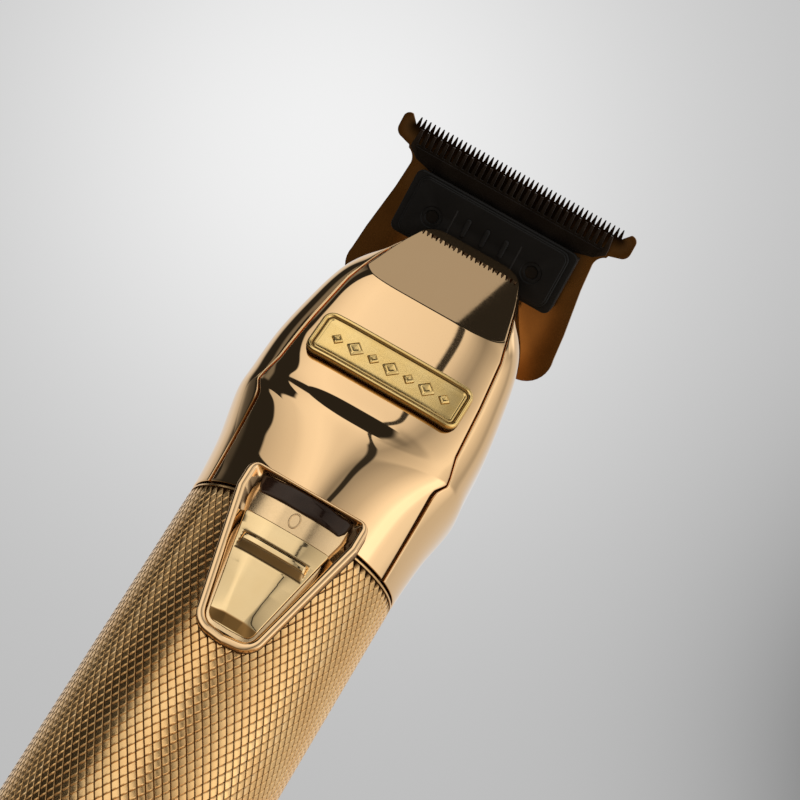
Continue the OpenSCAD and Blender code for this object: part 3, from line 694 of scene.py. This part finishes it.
def ornament_mesh():
    """A row of raised diamonds, the plain ornament of the nameplate's field."""
    corners = np.array([[math.cos(a * math.pi / 2), math.sin(a * math.pi / 2)] for a in range(5)])
    outline = [corners[a] * (1 - t) + corners[a + 1] * t
        for a in range(4) for t in np.linspace(0, 1, 6)[:-1]]
    n, rows = len(outline), len(DIAMOND_STEPS)
    points, faces = [], []
    for k in range(-3, 4):
        size = DIAMOND_BIG if k % 2 == 0 else DIAMOND_SMALL
        start = len(points)
        for scale, out, _ in DIAMOND_STEPS:
            points += [on_cover(DIAMOND_PITCH * k + x * size * scale, z * size * scale, out)
                for x, z in outline]
        top = start + (rows - 1) * n
        faces += [*quads(rows, n, start, closed=True), range(top, top + n),
            range(start + n - 1, start - 1, -1)]
    return points, faces, np.tile(np.repeat([painted_shade for *_, painted_shade in DIAMOND_STEPS], n), 7)


# --- blade set ---

def on_blade(points):
    """From the blade's frame (x across, depth in front, z up from the tips' line) to the part's."""
    x, depth, z = np.asarray(points, float).T
    c, s = math.cos(BLADE_LEAN), math.sin(BLADE_LEAN)
    return np.stack([x, TIP_Y - depth * c - z * s, RIM_Z + TIP_H - depth * s + z * c], -1)


def in_blade(p):
    """The other way: x, depth and z in the blade's frame."""
    c, s = math.cos(BLADE_LEAN), math.sin(BLADE_LEAN)
    y, z = p[1] - TIP_Y, p[2] - RIM_Z - TIP_H
    return p[0], -(y * c + z * s), z * c - y * s


def arc(x, z, r, start, end, n=10):
    turns = [math.radians(start + (end - start) * i / n) for i in range(n + 1)]
    return [(x + r * math.cos(a), z + r * math.sin(a)) for a in turns]


def inward(loop, amount):
    """A closed loop moved to its left by amount, its corners mitred."""
    p = np.array(loop)
    before, after = p - np.roll(p, 1, 0), np.roll(p, -1, 0) - p
    a = np.stack([-before[:, 1], before[:, 0]], -1) / np.linalg.norm(before, axis=1)[:, None]
    b = np.stack([-after[:, 1], after[:, 0]], -1) / np.linalg.norm(after, axis=1)[:, None]
    den = np.maximum(1 + (a * b).sum(1), 0.35)[:, None]
    return p + amount * (a + b) / den


def slab(name, parts, painted_shade=None):
    """An object of plates in the blade's frame. Each part is (loops, low, high, bevel)."""
    bm = bmesh.new()
    for loops, low, high, bevel in parts:
        caps = {low: [], high: []}
        for loop in loops:
            inner = inward(loop, bevel)
            rings = []
            for outline, depth in ((inner, low), (loop, low + bevel), (loop, high - bevel),
                    (inner, high)):
                ring = on_blade([(x, depth, z) for x, z in outline]) * MM
                rings.append([bm.verts.new(v) for v in ring])
            n = len(loop)
            for a, b in zip(rings, rings[1:]):
                for k in range(n):
                    bm.faces.new((a[k], a[(k + 1) % n], b[(k + 1) % n], b[k]))
            for depth, ring in ((low, rings[0]), (high, rings[-1])):
                caps[depth] += [bm.edges.get((ring[k], ring[(k + 1) % n])) for k in range(n)]
        for edges in caps.values():
            bmesh.ops.triangle_fill(bm, use_beauty=True, use_dissolve=False, edges=edges)
    bmesh.ops.recalc_face_normals(bm, faces=bm.faces)
    mesh = bpy.data.meshes.new(name)
    bm.to_mesh(mesh)
    bm.free()
    obj = add_object(name, mesh, 25)
    if painted_shade:
        set_painted_shade(mesh, [painted_shade(*in_blade(v.co / MM)) for v in mesh.vertices])
    return obj


def round_hole(x, z, r, n=32):
    """A hole's loop, clockwise, so that its left is the metal."""
    return [(x + r * math.cos(-math.tau * k / n), z + r * math.sin(-math.tau * k / n))
        for k in range(n)]


def teeth(count, half, z_root, z_tip, root, tip):
    """Points of a comb from left to right, each tooth a spike with its gaps between."""
    pitch = 2 * half / count
    out = []
    for k in range(count):
        x = -half + (k + 0.5) * pitch
        out += [(x - root * pitch / 2, z_root), (x - tip * pitch / 2, z_tip),
            (x + tip * pitch / 2, z_tip), (x + root * pitch / 2, z_root)]
    return out


def anticlockwise(loop):
    p = np.array(loop)
    q = np.roll(p, -1, 0)
    return loop if (p[:, 0] * q[:, 1] - q[:, 0] * p[:, 1]).sum() > 0 else loop[::-1]


SCREW_HOLE = 1.3
THIN_Z, THIN_SHARE = 4.2, 0.62  # the comb thins to a share of the sheet over that length
# painted shade over the comb, dark where the cutter's teeth leave gaps
COMB_SHADE = 0.85


def fixed_blade():
    """The T blade: a sheet with two lugs, a comb along its top and two screw holes."""
    lug, bar = BLADE_W / 2, -4.4
    right = (arc(lug - 1.1, -1.2, 1.1, 100, 0) + arc(lug - 1.5, bar + 1.5, 1.5, 0, -80)
        + [(18.6, -4.9)] + arc(19.2, -7.4, 2.2, 110, 190) + [(17.4, -12), (18.6, -20)]
        + arc(19.2 - 4.6, -BLADE_L + 5.2, 4.6, 15, -90) + [(0, -BLADE_L + 0.6)])
    comb = teeth(FIXED_TEETH, TOOTH_HALF, -1.5, 0.0, 0.84, 0.2)
    left = [(-x, z) for x, z in right[::-1]]
    holes = [round_hole(x, -21.5, SCREW_HOLE) for x in (-5, 5)]
    loops = [anticlockwise(left[1:] + comb + right), *holes]

    def painted_shade(x, depth, z):
        return COMB_SHADE if abs(x) < TOOTH_HALF + 0.1 and z > -4 else 0.0

    obj = slab("fixed_blade_ground", [(loops, -1.0, 0.0, 0.045)], painted_shade)
    for v in obj.data.vertices:
        x, depth, z = in_blade(v.co / MM)
        thin = max(0.0, 1 + z / THIN_Z) * THIN_SHARE
        if depth < -0.2 and thin > 0 and abs(x) < TOOTH_HALF + 3:
            v.co = Vector(on_blade([(x, depth * (1 - thin), z)])[0] * MM)
    return obj


CUTTER_HALF = 18.2


def cutter():
    """The moving comb, a raised land on its face."""
    low, high = 0.05, 0.95
    right = [(CUTTER_HALF, -4.0), (CUTTER_HALF, -4.9), (16.4, -6.2), (12, -7.25), (12, -15),
        (0, -15)]
    left = [(-x, z) for x, z in right[::-1]]
    comb = teeth(CUTTER_TEETH, CUTTER_HALF, -4.0, -1.6, 0.62, 0.4)
    loop = anticlockwise(left[1:] + comb[1:-1] + right)
    land = anticlockwise([(-17.4, -4.35), (17.4, -4.35), (16.0, -5.9), (11.6, -7.0), (-11.6, -7.0),
        (-16.0, -5.9)])
    return slab("cutter_ground", [([loop], low, high, 0.05),
        ([land], high - 0.02, high + 0.12, 0.1)])


def rounded_box(half, top, low, r):
    x, z0, z1 = half - r, low + r, top - r
    return anticlockwise(arc(x, z1, r, 0, 90, 8) + arc(-x, z1, r, 90, 180, 8)
        + arc(-x, z0, r, 180, 270, 8) + arc(x, z0, r, 270, 360, 8))


def upright_box(x, half, top, low):
    return anticlockwise([(x - half, top), (x + half, top), (x + half, low), (x - half, low)])


BLOCK_SCREW_X, BLOCK_SCREW_Z = 9.2, -12.6
RIB_XS, MARK_XS = (-3.45, 0, 3.45), (-5.9, 5.9)


def blade_block():
    """The moulded block: three stepped slabs, two legs, three ribs and two thin marks."""
    holes, dish = [[round_hole(side * BLOCK_SCREW_X, BLOCK_SCREW_Z, r) for side in (-1, 1)]
        for r in (1.05, 1.7)]
    parts = [([rounded_box(14.8, -6.6, -17.6, 1.2), *holes], 3.0, 4.2, 0.16),
        ([rounded_box(13.7, -6.95, -17.1, 1.6), *holes], 4.1, 4.82, 0.14),
        ([rounded_box(13.35, -7.25, -16.8, 1.45), *dish], 4.72, 5.0, 0.12)]
    parts += [([upright_box(side * 14.1, 0.7, -7.4, -16.5)], 0.02, 3.05, 0.1) for side in (-1, 1)]
    parts += [([anticlockwise(arc(x, -10.3, 0.4, 0, 180, 8) + arc(x, -12.7, 0.4, 180, 360, 8))],
        4.9, 5.4, 0.18) for x in RIB_XS]
    parts += [([upright_box(x, 0.12, -9.6, -14.4)], 4.95, 5.07, 0.05) for x in MARK_XS]
    return slab("blade_block_moulded", parts)


# --- materials ---

class Term:
    """A shader value that formulas are written with. New nodes go into Term.tree."""

    tree = None

    def __init__(self, socket):
        self.socket = socket

    def __add__(self, other):
        return maths("ADD", self, other)

    def __sub__(self, other):
        return maths("SUBTRACT", self, other)

    def __rsub__(self, other):
        return maths("SUBTRACT", other, self)

    def __mul__(self, other):
        return maths("MULTIPLY", self, other)

    def __truediv__(self, other):
        return maths("DIVIDE", self, other)

    __radd__, __rmul__ = __add__, __mul__


def feed(slot, value):
    """Links a term to a slot, or sets the slot to a plain value."""
    if isinstance(value, Term):
        Term.tree.links.new(value.socket, slot)
    else:
        slot.default_value = value


def feed_all(n, **inputs):
    for key, value in inputs.items():
        feed(n.inputs[key.replace("_", " ")], value)


def node(kind, **inputs):
    n = Term.tree.nodes.new("ShaderNode" + kind)
    feed_all(n, **inputs)
    return n


def term(kind, output=0, **inputs):
    return Term(node(kind, **inputs).outputs[output])


def maths(operation, *values):
    n = node("Math")
    n.operation = operation
    for slot, value in zip(n.inputs, values):
        feed(slot, value)
    return Term(n.outputs[0])


def mix_colours(factor, a, b):
    n = node("Mix")
    n.data_type = "RGBA"
    for k, value in ((0, factor), (6, a), (7, b)):
        feed(n.inputs[k], value)
    return Term(n.outputs[2])


FINISH = {}
PAINTED_SHADE_TINT = (0.07, 0.05, 0.04)


def finish(name, colour, shade, metallic, rough, vary=0.03, grain=900.0, relief=1e-6,
        stretch=(1, 1, 1), drift=80.0, edge_wear_and_sheen=0.2, wear_and_sheen_colour=None, painted_hollow_shade=0.3, **sockets):
    """A procedural finish: drifting colour and roughness, fine relief, edges lightened as wear and
    painted highlight, painted shade in hollows and where the points store it.
    """
    mat = FINISH[name] = bpy.data.materials.new(name)
    mat.use_nodes = True
    Term.tree = mat.node_tree
    bsdf = mat.node_tree.nodes["Principled BSDF"]
    feed_all(bsdf, Metallic=metallic, **sockets)

    def remap(value, start, end, low, high):
        return term("MapRange", Value=value, From_Min=start, From_Max=end, To_Min=low, To_Max=high)

    place = term("TexCoord", "Object")
    along = term("Mapping", Vector=place, Scale=stretch)
    slow = term("TexNoise", "Fac", Vector=place, Scale=drift, Detail=3.0)
    fine = term("TexNoise", "Fac", Vector=along, Scale=grain, Detail=5.0, Roughness=0.62)
    point = term("NewGeometry", "Pointiness")
    # sharp edges lightened: wear, and painted highlight
    edge = remap(point, 0.54, 0.66, 0.0, edge_wear_and_sheen)
    # painted shade in hollows, by how concave a point is
    hollow_shade_mask = remap(point, 0.34, 0.47, painted_hollow_shade, 0.0)
    wear_and_sheen_colour = wear_and_sheen_colour or [min(1.0, c * 1.25 + 0.05) for c in colour]
    base = mix_colours(remap(slow, 0.32, 0.68, 0.0, 1.0), (*colour, 1), (*shade, 1))
    base = mix_colours(edge, base, (*wear_and_sheen_colour, 1))
    base = mix_colours(hollow_shade_mask, base, (*[c * 0.25 for c in shade], 1))
    # painted shade stored on the points darkens the colour
    attribute = node("Attribute")
    attribute.attribute_name = "painted_shade"
    painted_shade = Term(attribute.outputs["Fac"])
    base = mix_colours(painted_shade, base, (*[c * t for c, t in zip(shade, PAINTED_SHADE_TINT)], 1))
    uneven = remap(fine, 0.3, 0.7, max(rough - vary, 0.01), rough + vary)
    feed_all(bsdf, Base_Color=base, Roughness=uneven + maths("MAXIMUM", hollow_shade_mask, painted_shade),
        Normal=term("Bump", Height=fine, Strength=1.0, Distance=relief))
    return mat


finish("rose_chrome", (0.95, 0.635, 0.335), (0.94, 0.615, 0.315), 1.0, 0.02, 0.008, 2600, 6e-8,
    drift=60, edge_wear_and_sheen=0.12, painted_hollow_shade=0.25)
finish("knurled_gold", (0.98, 0.62, 0.27), (0.93, 0.55, 0.22), 1.0, 0.2, 0.06, 3800, 6e-6,
    drift=140, edge_wear_and_sheen=0.4, wear_and_sheen_colour=(1.0, 0.74, 0.42), painted_hollow_shade=0.3)
finish("cap_gold", (0.92, 0.62, 0.33), (0.87, 0.57, 0.28), 1.0, 0.2, 0.06, 1500, 3e-6,
    stretch=(1, 1, 14), drift=120)
finish("plate_gold", (0.95, 0.67, 0.27), (0.92, 0.62, 0.22), 1.0, 0.15, 0.05, 4200, 2e-6, drift=500,
    edge_wear_and_sheen=0.3, wear_and_sheen_colour=(1.0, 0.82, 0.4), painted_hollow_shade=0.7)
finish("slide_gold", (0.96, 0.70, 0.36), (0.94, 0.67, 0.33), 1.0, 0.07, 0.02, 3200, 4e-7, drift=200,
    edge_wear_and_sheen=0.15)
finish("panel_gold", (0.94, 0.66, 0.36), (0.91, 0.63, 0.33), 1.0, 0.2, 0.05, 3600, 8e-7, drift=260)
finish("blade_bronze", (0.30, 0.15, 0.048), (0.22, 0.11, 0.036), 1.0, 0.18, 0.05, 1800, 2e-6,
    stretch=(9, 1, 1), drift=160, edge_wear_and_sheen=0.3, wear_and_sheen_colour=(0.42, 0.25, 0.12), painted_hollow_shade=0.3)
# the cutter's lightened edges: wear and painted highlight on its teeth
finish("cutter_black", (0.03, 0.024, 0.02), (0.018, 0.014, 0.012), 0.9, 0.3, 0.08, 2200, 2e-6,
    stretch=(1, 1, 6), drift=300, edge_wear_and_sheen=0.6, wear_and_sheen_colour=(0.2, 0.15, 0.125))
# the block's lightened edges are painted highlight on its ribs and steps
finish("block_black", (0.005, 0.0042, 0.0034), (0.003, 0.0026, 0.002), 0.0, 0.4, 0.08, 5200, 9e-6,
    drift=300, edge_wear_and_sheen=0.9, wear_and_sheen_colour=(0.045, 0.041, 0.037), Specular_IOR_Level=0.12)
finish("smoked_lens", (0.03, 0.014, 0.008), (0.014, 0.007, 0.005), 0.0, 0.09, 0.03, 1200, 3e-7,
    drift=240, edge_wear_and_sheen=0.0, painted_hollow_shade=0.0, Specular_IOR_Level=0.4, Specular_Tint=(1.0, 0.8, 0.65, 1.0))
finish("yoke_plastic", (0.68, 0.66, 0.60), (0.6, 0.58, 0.52), 0.0, 0.45, 0.06, 2600, 5e-6)
finish("bracket_steel", (0.50, 0.50, 0.51), (0.42, 0.42, 0.43), 1.0, 0.3, 0.08, 1400, 3e-6,
    stretch=(1, 1, 9))
finish("screw_steel", (0.60, 0.58, 0.55), (0.5, 0.48, 0.45), 1.0, 0.24, 0.06, 3400, 2e-6)
finish("screw_black", (0.02, 0.018, 0.016), (0.012, 0.011, 0.01), 0.9, 0.35, 0.06, 3400, 2e-6)
finish("spring_steel", (0.62, 0.62, 0.63), (0.5, 0.5, 0.52), 1.0, 0.22, 0.05, 2600, 1e-6)
finish("inlet_black", (0.025, 0.025, 0.027), (0.015, 0.015, 0.017), 0.0, 0.4, 0.08, 3000, 6e-6)
finish("seal_rubber", (0.02, 0.02, 0.02), (0.012, 0.012, 0.012), 0.0, 0.7, 0.08, 3600, 8e-6)
finish("chassis_black", (0.04, 0.04, 0.043), (0.028, 0.028, 0.03), 0.0, 0.5, 0.08, 2400, 8e-6)
finish("cell_wrap", (0.10, 0.28, 0.16), (0.08, 0.23, 0.13), 0.0, 0.3, 0.05, 1200, 2e-6)
finish("contact_nickel", (0.66, 0.64, 0.58), (0.58, 0.56, 0.5), 1.0, 0.25, 0.06, 2600, 1e-6)
finish("board_green", (0.02, 0.12, 0.05), (0.015, 0.09, 0.04), 0.0, 0.35, 0.08, 1600, 4e-6,
    drift=400)
finish("switch_metal", (0.55, 0.55, 0.56), (0.48, 0.48, 0.5), 1.0, 0.32, 0.06, 2200, 2e-6)
finish("led_lens", (0.85, 0.85, 0.78), (0.78, 0.78, 0.7), 0.0, 0.15, 0.04, 2000, 1e-6)
finish("motor_steel", (0.56, 0.56, 0.58), (0.46, 0.46, 0.48), 1.0, 0.28, 0.08, 1600, 2e-6,
    stretch=(1, 1, 8))
finish("bell_plastic", (0.03, 0.03, 0.03), (0.02, 0.02, 0.02), 0.0, 0.5, 0.08, 2600, 6e-6)
finish("lead_red", (0.45, 0.02, 0.015), (0.36, 0.015, 0.01), 0.0, 0.45, 0.06, 2600, 4e-6)
finish("shaft_steel", (0.64, 0.64, 0.65), (0.54, 0.54, 0.56), 1.0, 0.18, 0.05, 2000, 1e-6,
    stretch=(1, 1, 10))
finish("cam_steel", (0.40, 0.40, 0.42), (0.32, 0.32, 0.34), 1.0, 0.3, 0.06, 2200, 2e-6)
finish("plate_steel", (0.48, 0.48, 0.50), (0.40, 0.40, 0.42), 1.0, 0.32, 0.07, 1800, 3e-6)


# --- pieces ---

def piece(obj, look, slot, body, *nodes):
    """Finishes a new piece, puts it under its body and hides the CAD nodes it stands for. Its slot
    is not used.
    """
    obj.data.materials.append(FINISH[look])
    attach(obj, body)
    if nodes:
        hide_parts(*nodes)


NEW_PIECES = [
    ("front_cover_skin", front_cover_mesh, 50, "rose_chrome", "front_gold", "housing",
        "front_cover"),
    ("rear_cover_skin", rear_cover_mesh, 50, "rose_chrome", "rear_gold", "housing", "rear_cover"),
    ("grip_knurled", knurl_mesh, 35, "knurled_gold", "knurled_gold", "housing", "grip_sleeve"),
    ("switch_frame", bezel_mesh, 50, "rose_chrome", "bezel_gold", "housing", "switch_bezel"),
    ("switch_panel", switch_plate_mesh, 50, "panel_gold", "panel_gold", "housing", "switch_plate"),
    ("light_window", window_mesh, 50, "smoked_lens", "smoked_lens", "housing", "status_window"),
    ("slide_button", slide_mesh, 50, "slide_gold", "slide_gold", "slide", "switch_slide"),
    ("badge_plate", nameplate_mesh, 50, "plate_gold", "plate_gold", "housing", "nameplate"),
    ("badge_ornament", ornament_mesh, 40, "plate_gold", "plate_gold", "housing"),
]
for name, build, sharp, look, slot, body, *nodes in NEW_PIECES:
    piece(make_mesh(name, *build(), sharp=sharp), look, slot, body, *nodes)
piece(fixed_blade(), "blade_bronze", "blade_bronze", "housing", "fixed_blade")
piece(cutter(), "cutter_black", "cutter_black", "cutter_set", "cutter")
piece(blade_block(), "block_black", "block_black", "housing", "blade_block")

CAD_LOOKS = {"end_cap": "cap_gold", "power_inlet": "inlet_black", "inlet_seal": "seal_rubber",
    "cap_screws": "screw_steel", "chassis": "chassis_black", "battery_cell": "cell_wrap",
    "battery_contacts": "contact_nickel", "circuit_board": "board_green",
    "power_switch": "switch_metal", "status_led": "led_lens", "motor_can": "motor_steel",
    "motor_end_bell": "bell_plastic", "motor_leads": "lead_red", "motor_shaft": "shaft_steel",
    "eccentric": "cam_steel", "motor_plate": "plate_steel", "motor_screws": "screw_black",
    "blade_bracket": "bracket_steel", "cutter_yoke": "yoke_plastic",
    "tension_spring": "spring_steel", "blade_screws": "screw_steel", "block_screws": "screw_black"}
for name, look in CAD_LOOKS.items():
    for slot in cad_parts[name].material_slots:
        slot.link = "OBJECT"
        slot.material = FINISH[look]


# --- studio ---

def rise(value, start, end):
    """0 below start, 1 above end, smooth between."""
    n = node("MapRange", Value=value, From_Min=start, From_Max=end)
    n.interpolation_type = "SMOOTHSTEP"
    return Term(n.outputs[0])


def fall(value, start, end):
    return 1.0 - rise(value, start, end)


def ramp(value, stops):
    """A straight-line table of value to brightness, brightness up to 2."""
    lo, hi = stops[0][0], stops[-1][0]
    n = node("ValToRGB", Fac=value * (1 / (hi - lo)) - lo / (hi - lo))
    elements = n.color_ramp.elements
    while len(elements) < len(stops):
        elements.new(0.5)
    for element, (at, level) in zip(elements, stops):
        element.position = (at - lo) / (hi - lo)
        element.color = (level / 2, level / 2, level / 2, 1)
    return Term(n.outputs[0]) * 2.0


VIEW_AZ, VIEW_EL, VIEW_ROLL = np.radians([4.92, -20.18, 31.45])
VIEW_TARGET = np.array([2.26, 0.0, 135.59])
VIEW_DISTANCE = 370.0
VIEW_LENS, SENSOR = 107.55, 36.0

view_back = np.array([math.sin(VIEW_AZ) * math.cos(VIEW_EL), -math.cos(VIEW_AZ) * math.cos(VIEW_EL),
    math.sin(VIEW_EL)])
level = np.cross(-view_back, [0, 0, 1])
level /= np.linalg.norm(level)
upright = np.cross(level, -view_back)
view_right = level * math.cos(VIEW_ROLL) + upright * math.sin(VIEW_ROLL)
view_up = -level * math.sin(VIEW_ROLL) + upright * math.cos(VIEW_ROLL)

LOW_BAND = [(-180, 0.7), (-140, 0.7), (-128, 0.5), (-118, 0.1), (-112, 0.06), (-98, 0.02),
    (-72, 0.52), (-62, 0.6), (-45, 0.72), (-35, 0.78), (-25, 0.95), (-15, 1.02), (-10, 0.96),
    (-5, 0.78), (0, 0.5), (5, 0.25), (12, 0.32), (15, 0.34), (25, 0.48), (35, 0.6), (45, 0.84),
    (52, 1.0), (60, 1.15), (66, 1.4), (76, 1.35), (80, 1.05), (85, 0.95), (95, 0.9), (105, 0.75),
    (112, 0.6), (125, 0.6), (180, 0.7)]
HIGH_BAND = [(-180, 0.7), (-140, 0.7), (-128, 0.5), (-118, 0.2), (-108, 0.3), (-98, 0.5),
    (-92, 0.35), (-86, 0.19), (-74, 0.14), (-55, 0.6), (-45, 0.7), (-35, 0.84), (-25, 0.95),
    (-15, 1.02), (-10, 0.95), (-5, 0.78), (0, 0.5), (5, 0.36), (15, 0.54), (25, 0.66), (35, 0.78),
    (45, 0.92), (52, 0.98), (58, 1.0), (65, 0.85), (75, 0.75), (85, 0.66), (95, 0.58), (105, 0.45),
    (112, 0.42), (125, 0.6), (180, 0.7)]


def studio_light(x, y, z):
    """Brightness of the soft boxes in a direction: degrees round from the front, and degrees up."""
    az = maths("ARCTAN2", x, y * -1.0) * math.degrees(1)
    el = maths("ARCSINE", z) * math.degrees(1)
    is_high = rise(el, 8.0, 16.0)
    band = ramp(az, LOW_BAND) * (1.0 - is_high) + ramp(az, HIGH_BAND) * is_high

    # the left box: its left edge, and what is lit again beyond it
    left_edge = (rise(el, -2.0, 1.5) * 20.0 - 62.0 + rise(el, 4.0, 26.0) * 16.0
        - rise(el, 40.0, 48.0) * 15.0 - rise(el, -9.0, -5.0) * 8.0)
    far_left = maths("MAXIMUM", fall(az, -94.0, -84.0) * is_high, fall(az, -106.0, -98.0))
    left_mask = maths("MAXIMUM", rise(az - left_edge, -2.0, 2.0), far_left)
    flank_end = rise(el, 44.0, 49.0) * 20.0 - 74.0
    flank = (fall(az - flank_end, -3.0, 3.0) * rise(az, -92.0, -82.0) * rise(el, 12.0, 20.0)
        * fall(el, 56.0, 62.0) * 0.18)

    # the leaning dark slit between the boxes, narrower high up
    off_slit = maths("ABSOLUTE", az - (el * -0.315 + 10.6)) * (rise(el, 30.0, 50.0) * 3.0 + 1.0)
    slit = rise(off_slit, 1.4, 2.9) * 0.97 + 0.03

    # the boxes' upper ends, and the dim ground
    right = rise(az, -6.5, -2.5)
    corner = el + maths("MINIMUM", az + 30.0, 0.0) * -0.6
    top_right = fall(el, 61.0, 72.0) * (rise(el, 49.0, 58.0) * -0.3 + 1.0)
    top = fall(corner, 58.2, 59.4) * (1.0 - right) + top_right * right
    behind = rise(maths("ABSOLUTE", az), 118.0, 130.0) * fall(el, 62.0, 80.0)
    below = rise(el * -1.0, 12.0, 40.0)
    ground = below * (rise(az, -10.0, 0.0) * 0.3 - 0.92) + 1.0
    light = band * left_mask * slit * maths("MAXIMUM", top, behind) * ground

    # two dim strips overhead, on a plane above the part
    up = maths("MAXIMUM", z, 0.05)
    p, q = x / up, y / up
    strip_right = fall(q * -0.35 + 0.0914 + p, -0.0005, 0.0005)
    edge = q * 0.28 - 0.145 + maths("MINIMUM", q + 0.16, 0.0) * 0.22
    ends = rise(q, -0.2, -0.1) * fall(q, 0.5, 0.7) * rise(z, 0.3, 0.35)
    overhead = strip_right * rise(p - edge, -0.012, 0.012) * ends * 0.4
    far_right = (rise(p, -0.056, -0.046) * rise(q, -0.02, 0.03) * fall(q, 0.5, 0.7)
        * fall(p, 0.5, 0.7) * rise(z, 0.3, 0.35) * 0.5)
    return light + overhead + far_right + flank + 0.022, below


def backdrop(way):
    """Brightness of what the camera sees behind the part."""
    def glow(px, py, spread):
        """A soft glow round a place in the main view, given as shares of its half width."""
        half = SENSOR / 2 / VIEW_LENS
        d = -view_back + view_right * px * half + view_up * py * half
        n = node("VectorMath")
        n.operation = "DISTANCE"
        feed(n.inputs[0], way)
        feed(n.inputs[1], d / np.linalg.norm(d))
        away = Term(n.outputs["Value"]) * (1 / spread)
        return maths("EXPONENT", maths("POWER", away, 2.0) * -1.0)

    return glow(-0.178, 0.639, 0.147) * 0.369 + 0.509 - glow(1.8, -0.963, 0.121) * 0.656


def build_world():
    """Two tall soft boxes and dim strips, seen only in the part, and a pale backdrop."""
    world = bpy.data.worlds.new("studio")
    bpy.context.scene.world = world
    world.use_nodes = True
    Term.tree = world.node_tree
    Term.tree.nodes.clear()
    way = term("TexCoord", "Generated")
    light, below = studio_light(*map(Term, node("SeparateXYZ", Vector=way).outputs))
    warmth = mix_colours(below, (1, 1, 1, 1), (1, 0.72, 0.42, 1))
    lit = term("Background", Color=warmth, Strength=light)
    pale = term("Background", Color=(1, 1, 1, 1), Strength=backdrop(way))
    choose = node("MixShader", Fac=term("LightPath", "Is Camera Ray"))
    feed(choose.inputs[1], lit)
    feed(choose.inputs[2], pale)
    node("OutputWorld", Surface=Term(choose.outputs[0]))
    world.cycles.sampling_method = "MANUAL"
    world.cycles.sample_map_resolution = 1024


def build_floor():
    """A plain pale disc under the part, not seen in the chrome."""
    n, radii = 96, (150.0, 400.0, 1200.0, 4000.0)
    points = [(0.0, 0.0, 0.0)]
    for r in radii:
        points += [(r * math.cos(math.tau * k / n), r * math.sin(math.tau * k / n), 0.0)
            for k in range(n)]
    faces = [(0, 1 + k, 1 + (k + 1) % n) for k in range(n)]
    faces += [*quads(len(radii), n, 1, closed=True)[:, ::-1]]
    floor = make_mesh("pale_floor", points, faces)
    floor.location.z = -0.0002
    floor.data.materials.append(finish("floor_pale", (0.8, 0.8, 0.8), (0.78, 0.78, 0.78), 0.0, 0.6,
        0.05, 300, 1e-5, drift=5, edge_wear_and_sheen=0.0, painted_hollow_shade=0.0, Emission_Color=(1, 1, 1, 1),
        Emission_Strength=0.2))
    floor.visible_glossy = False


def build_camera():
    camera = bpy.data.cameras.new("camera")
    camera.lens = VIEW_LENS
    camera.sensor_width = SENSOR
    camera.clip_start = 0.01
    camera.clip_end = 20.0
    obj = bpy.data.objects.new("camera", camera)
    bpy.context.scene.collection.objects.link(obj)
    place = (VIEW_TARGET + view_back * VIEW_DISTANCE) * MM
    turn = Matrix(np.stack([view_right, view_up, view_back], 1).tolist()).to_4x4()
    obj.matrix_world = Matrix.Translation(place.tolist()) @ turn
    bpy.context.scene.camera = obj


build_world()
build_floor()
build_camera()
bpy.context.scene.view_settings.view_transform = "Standard"
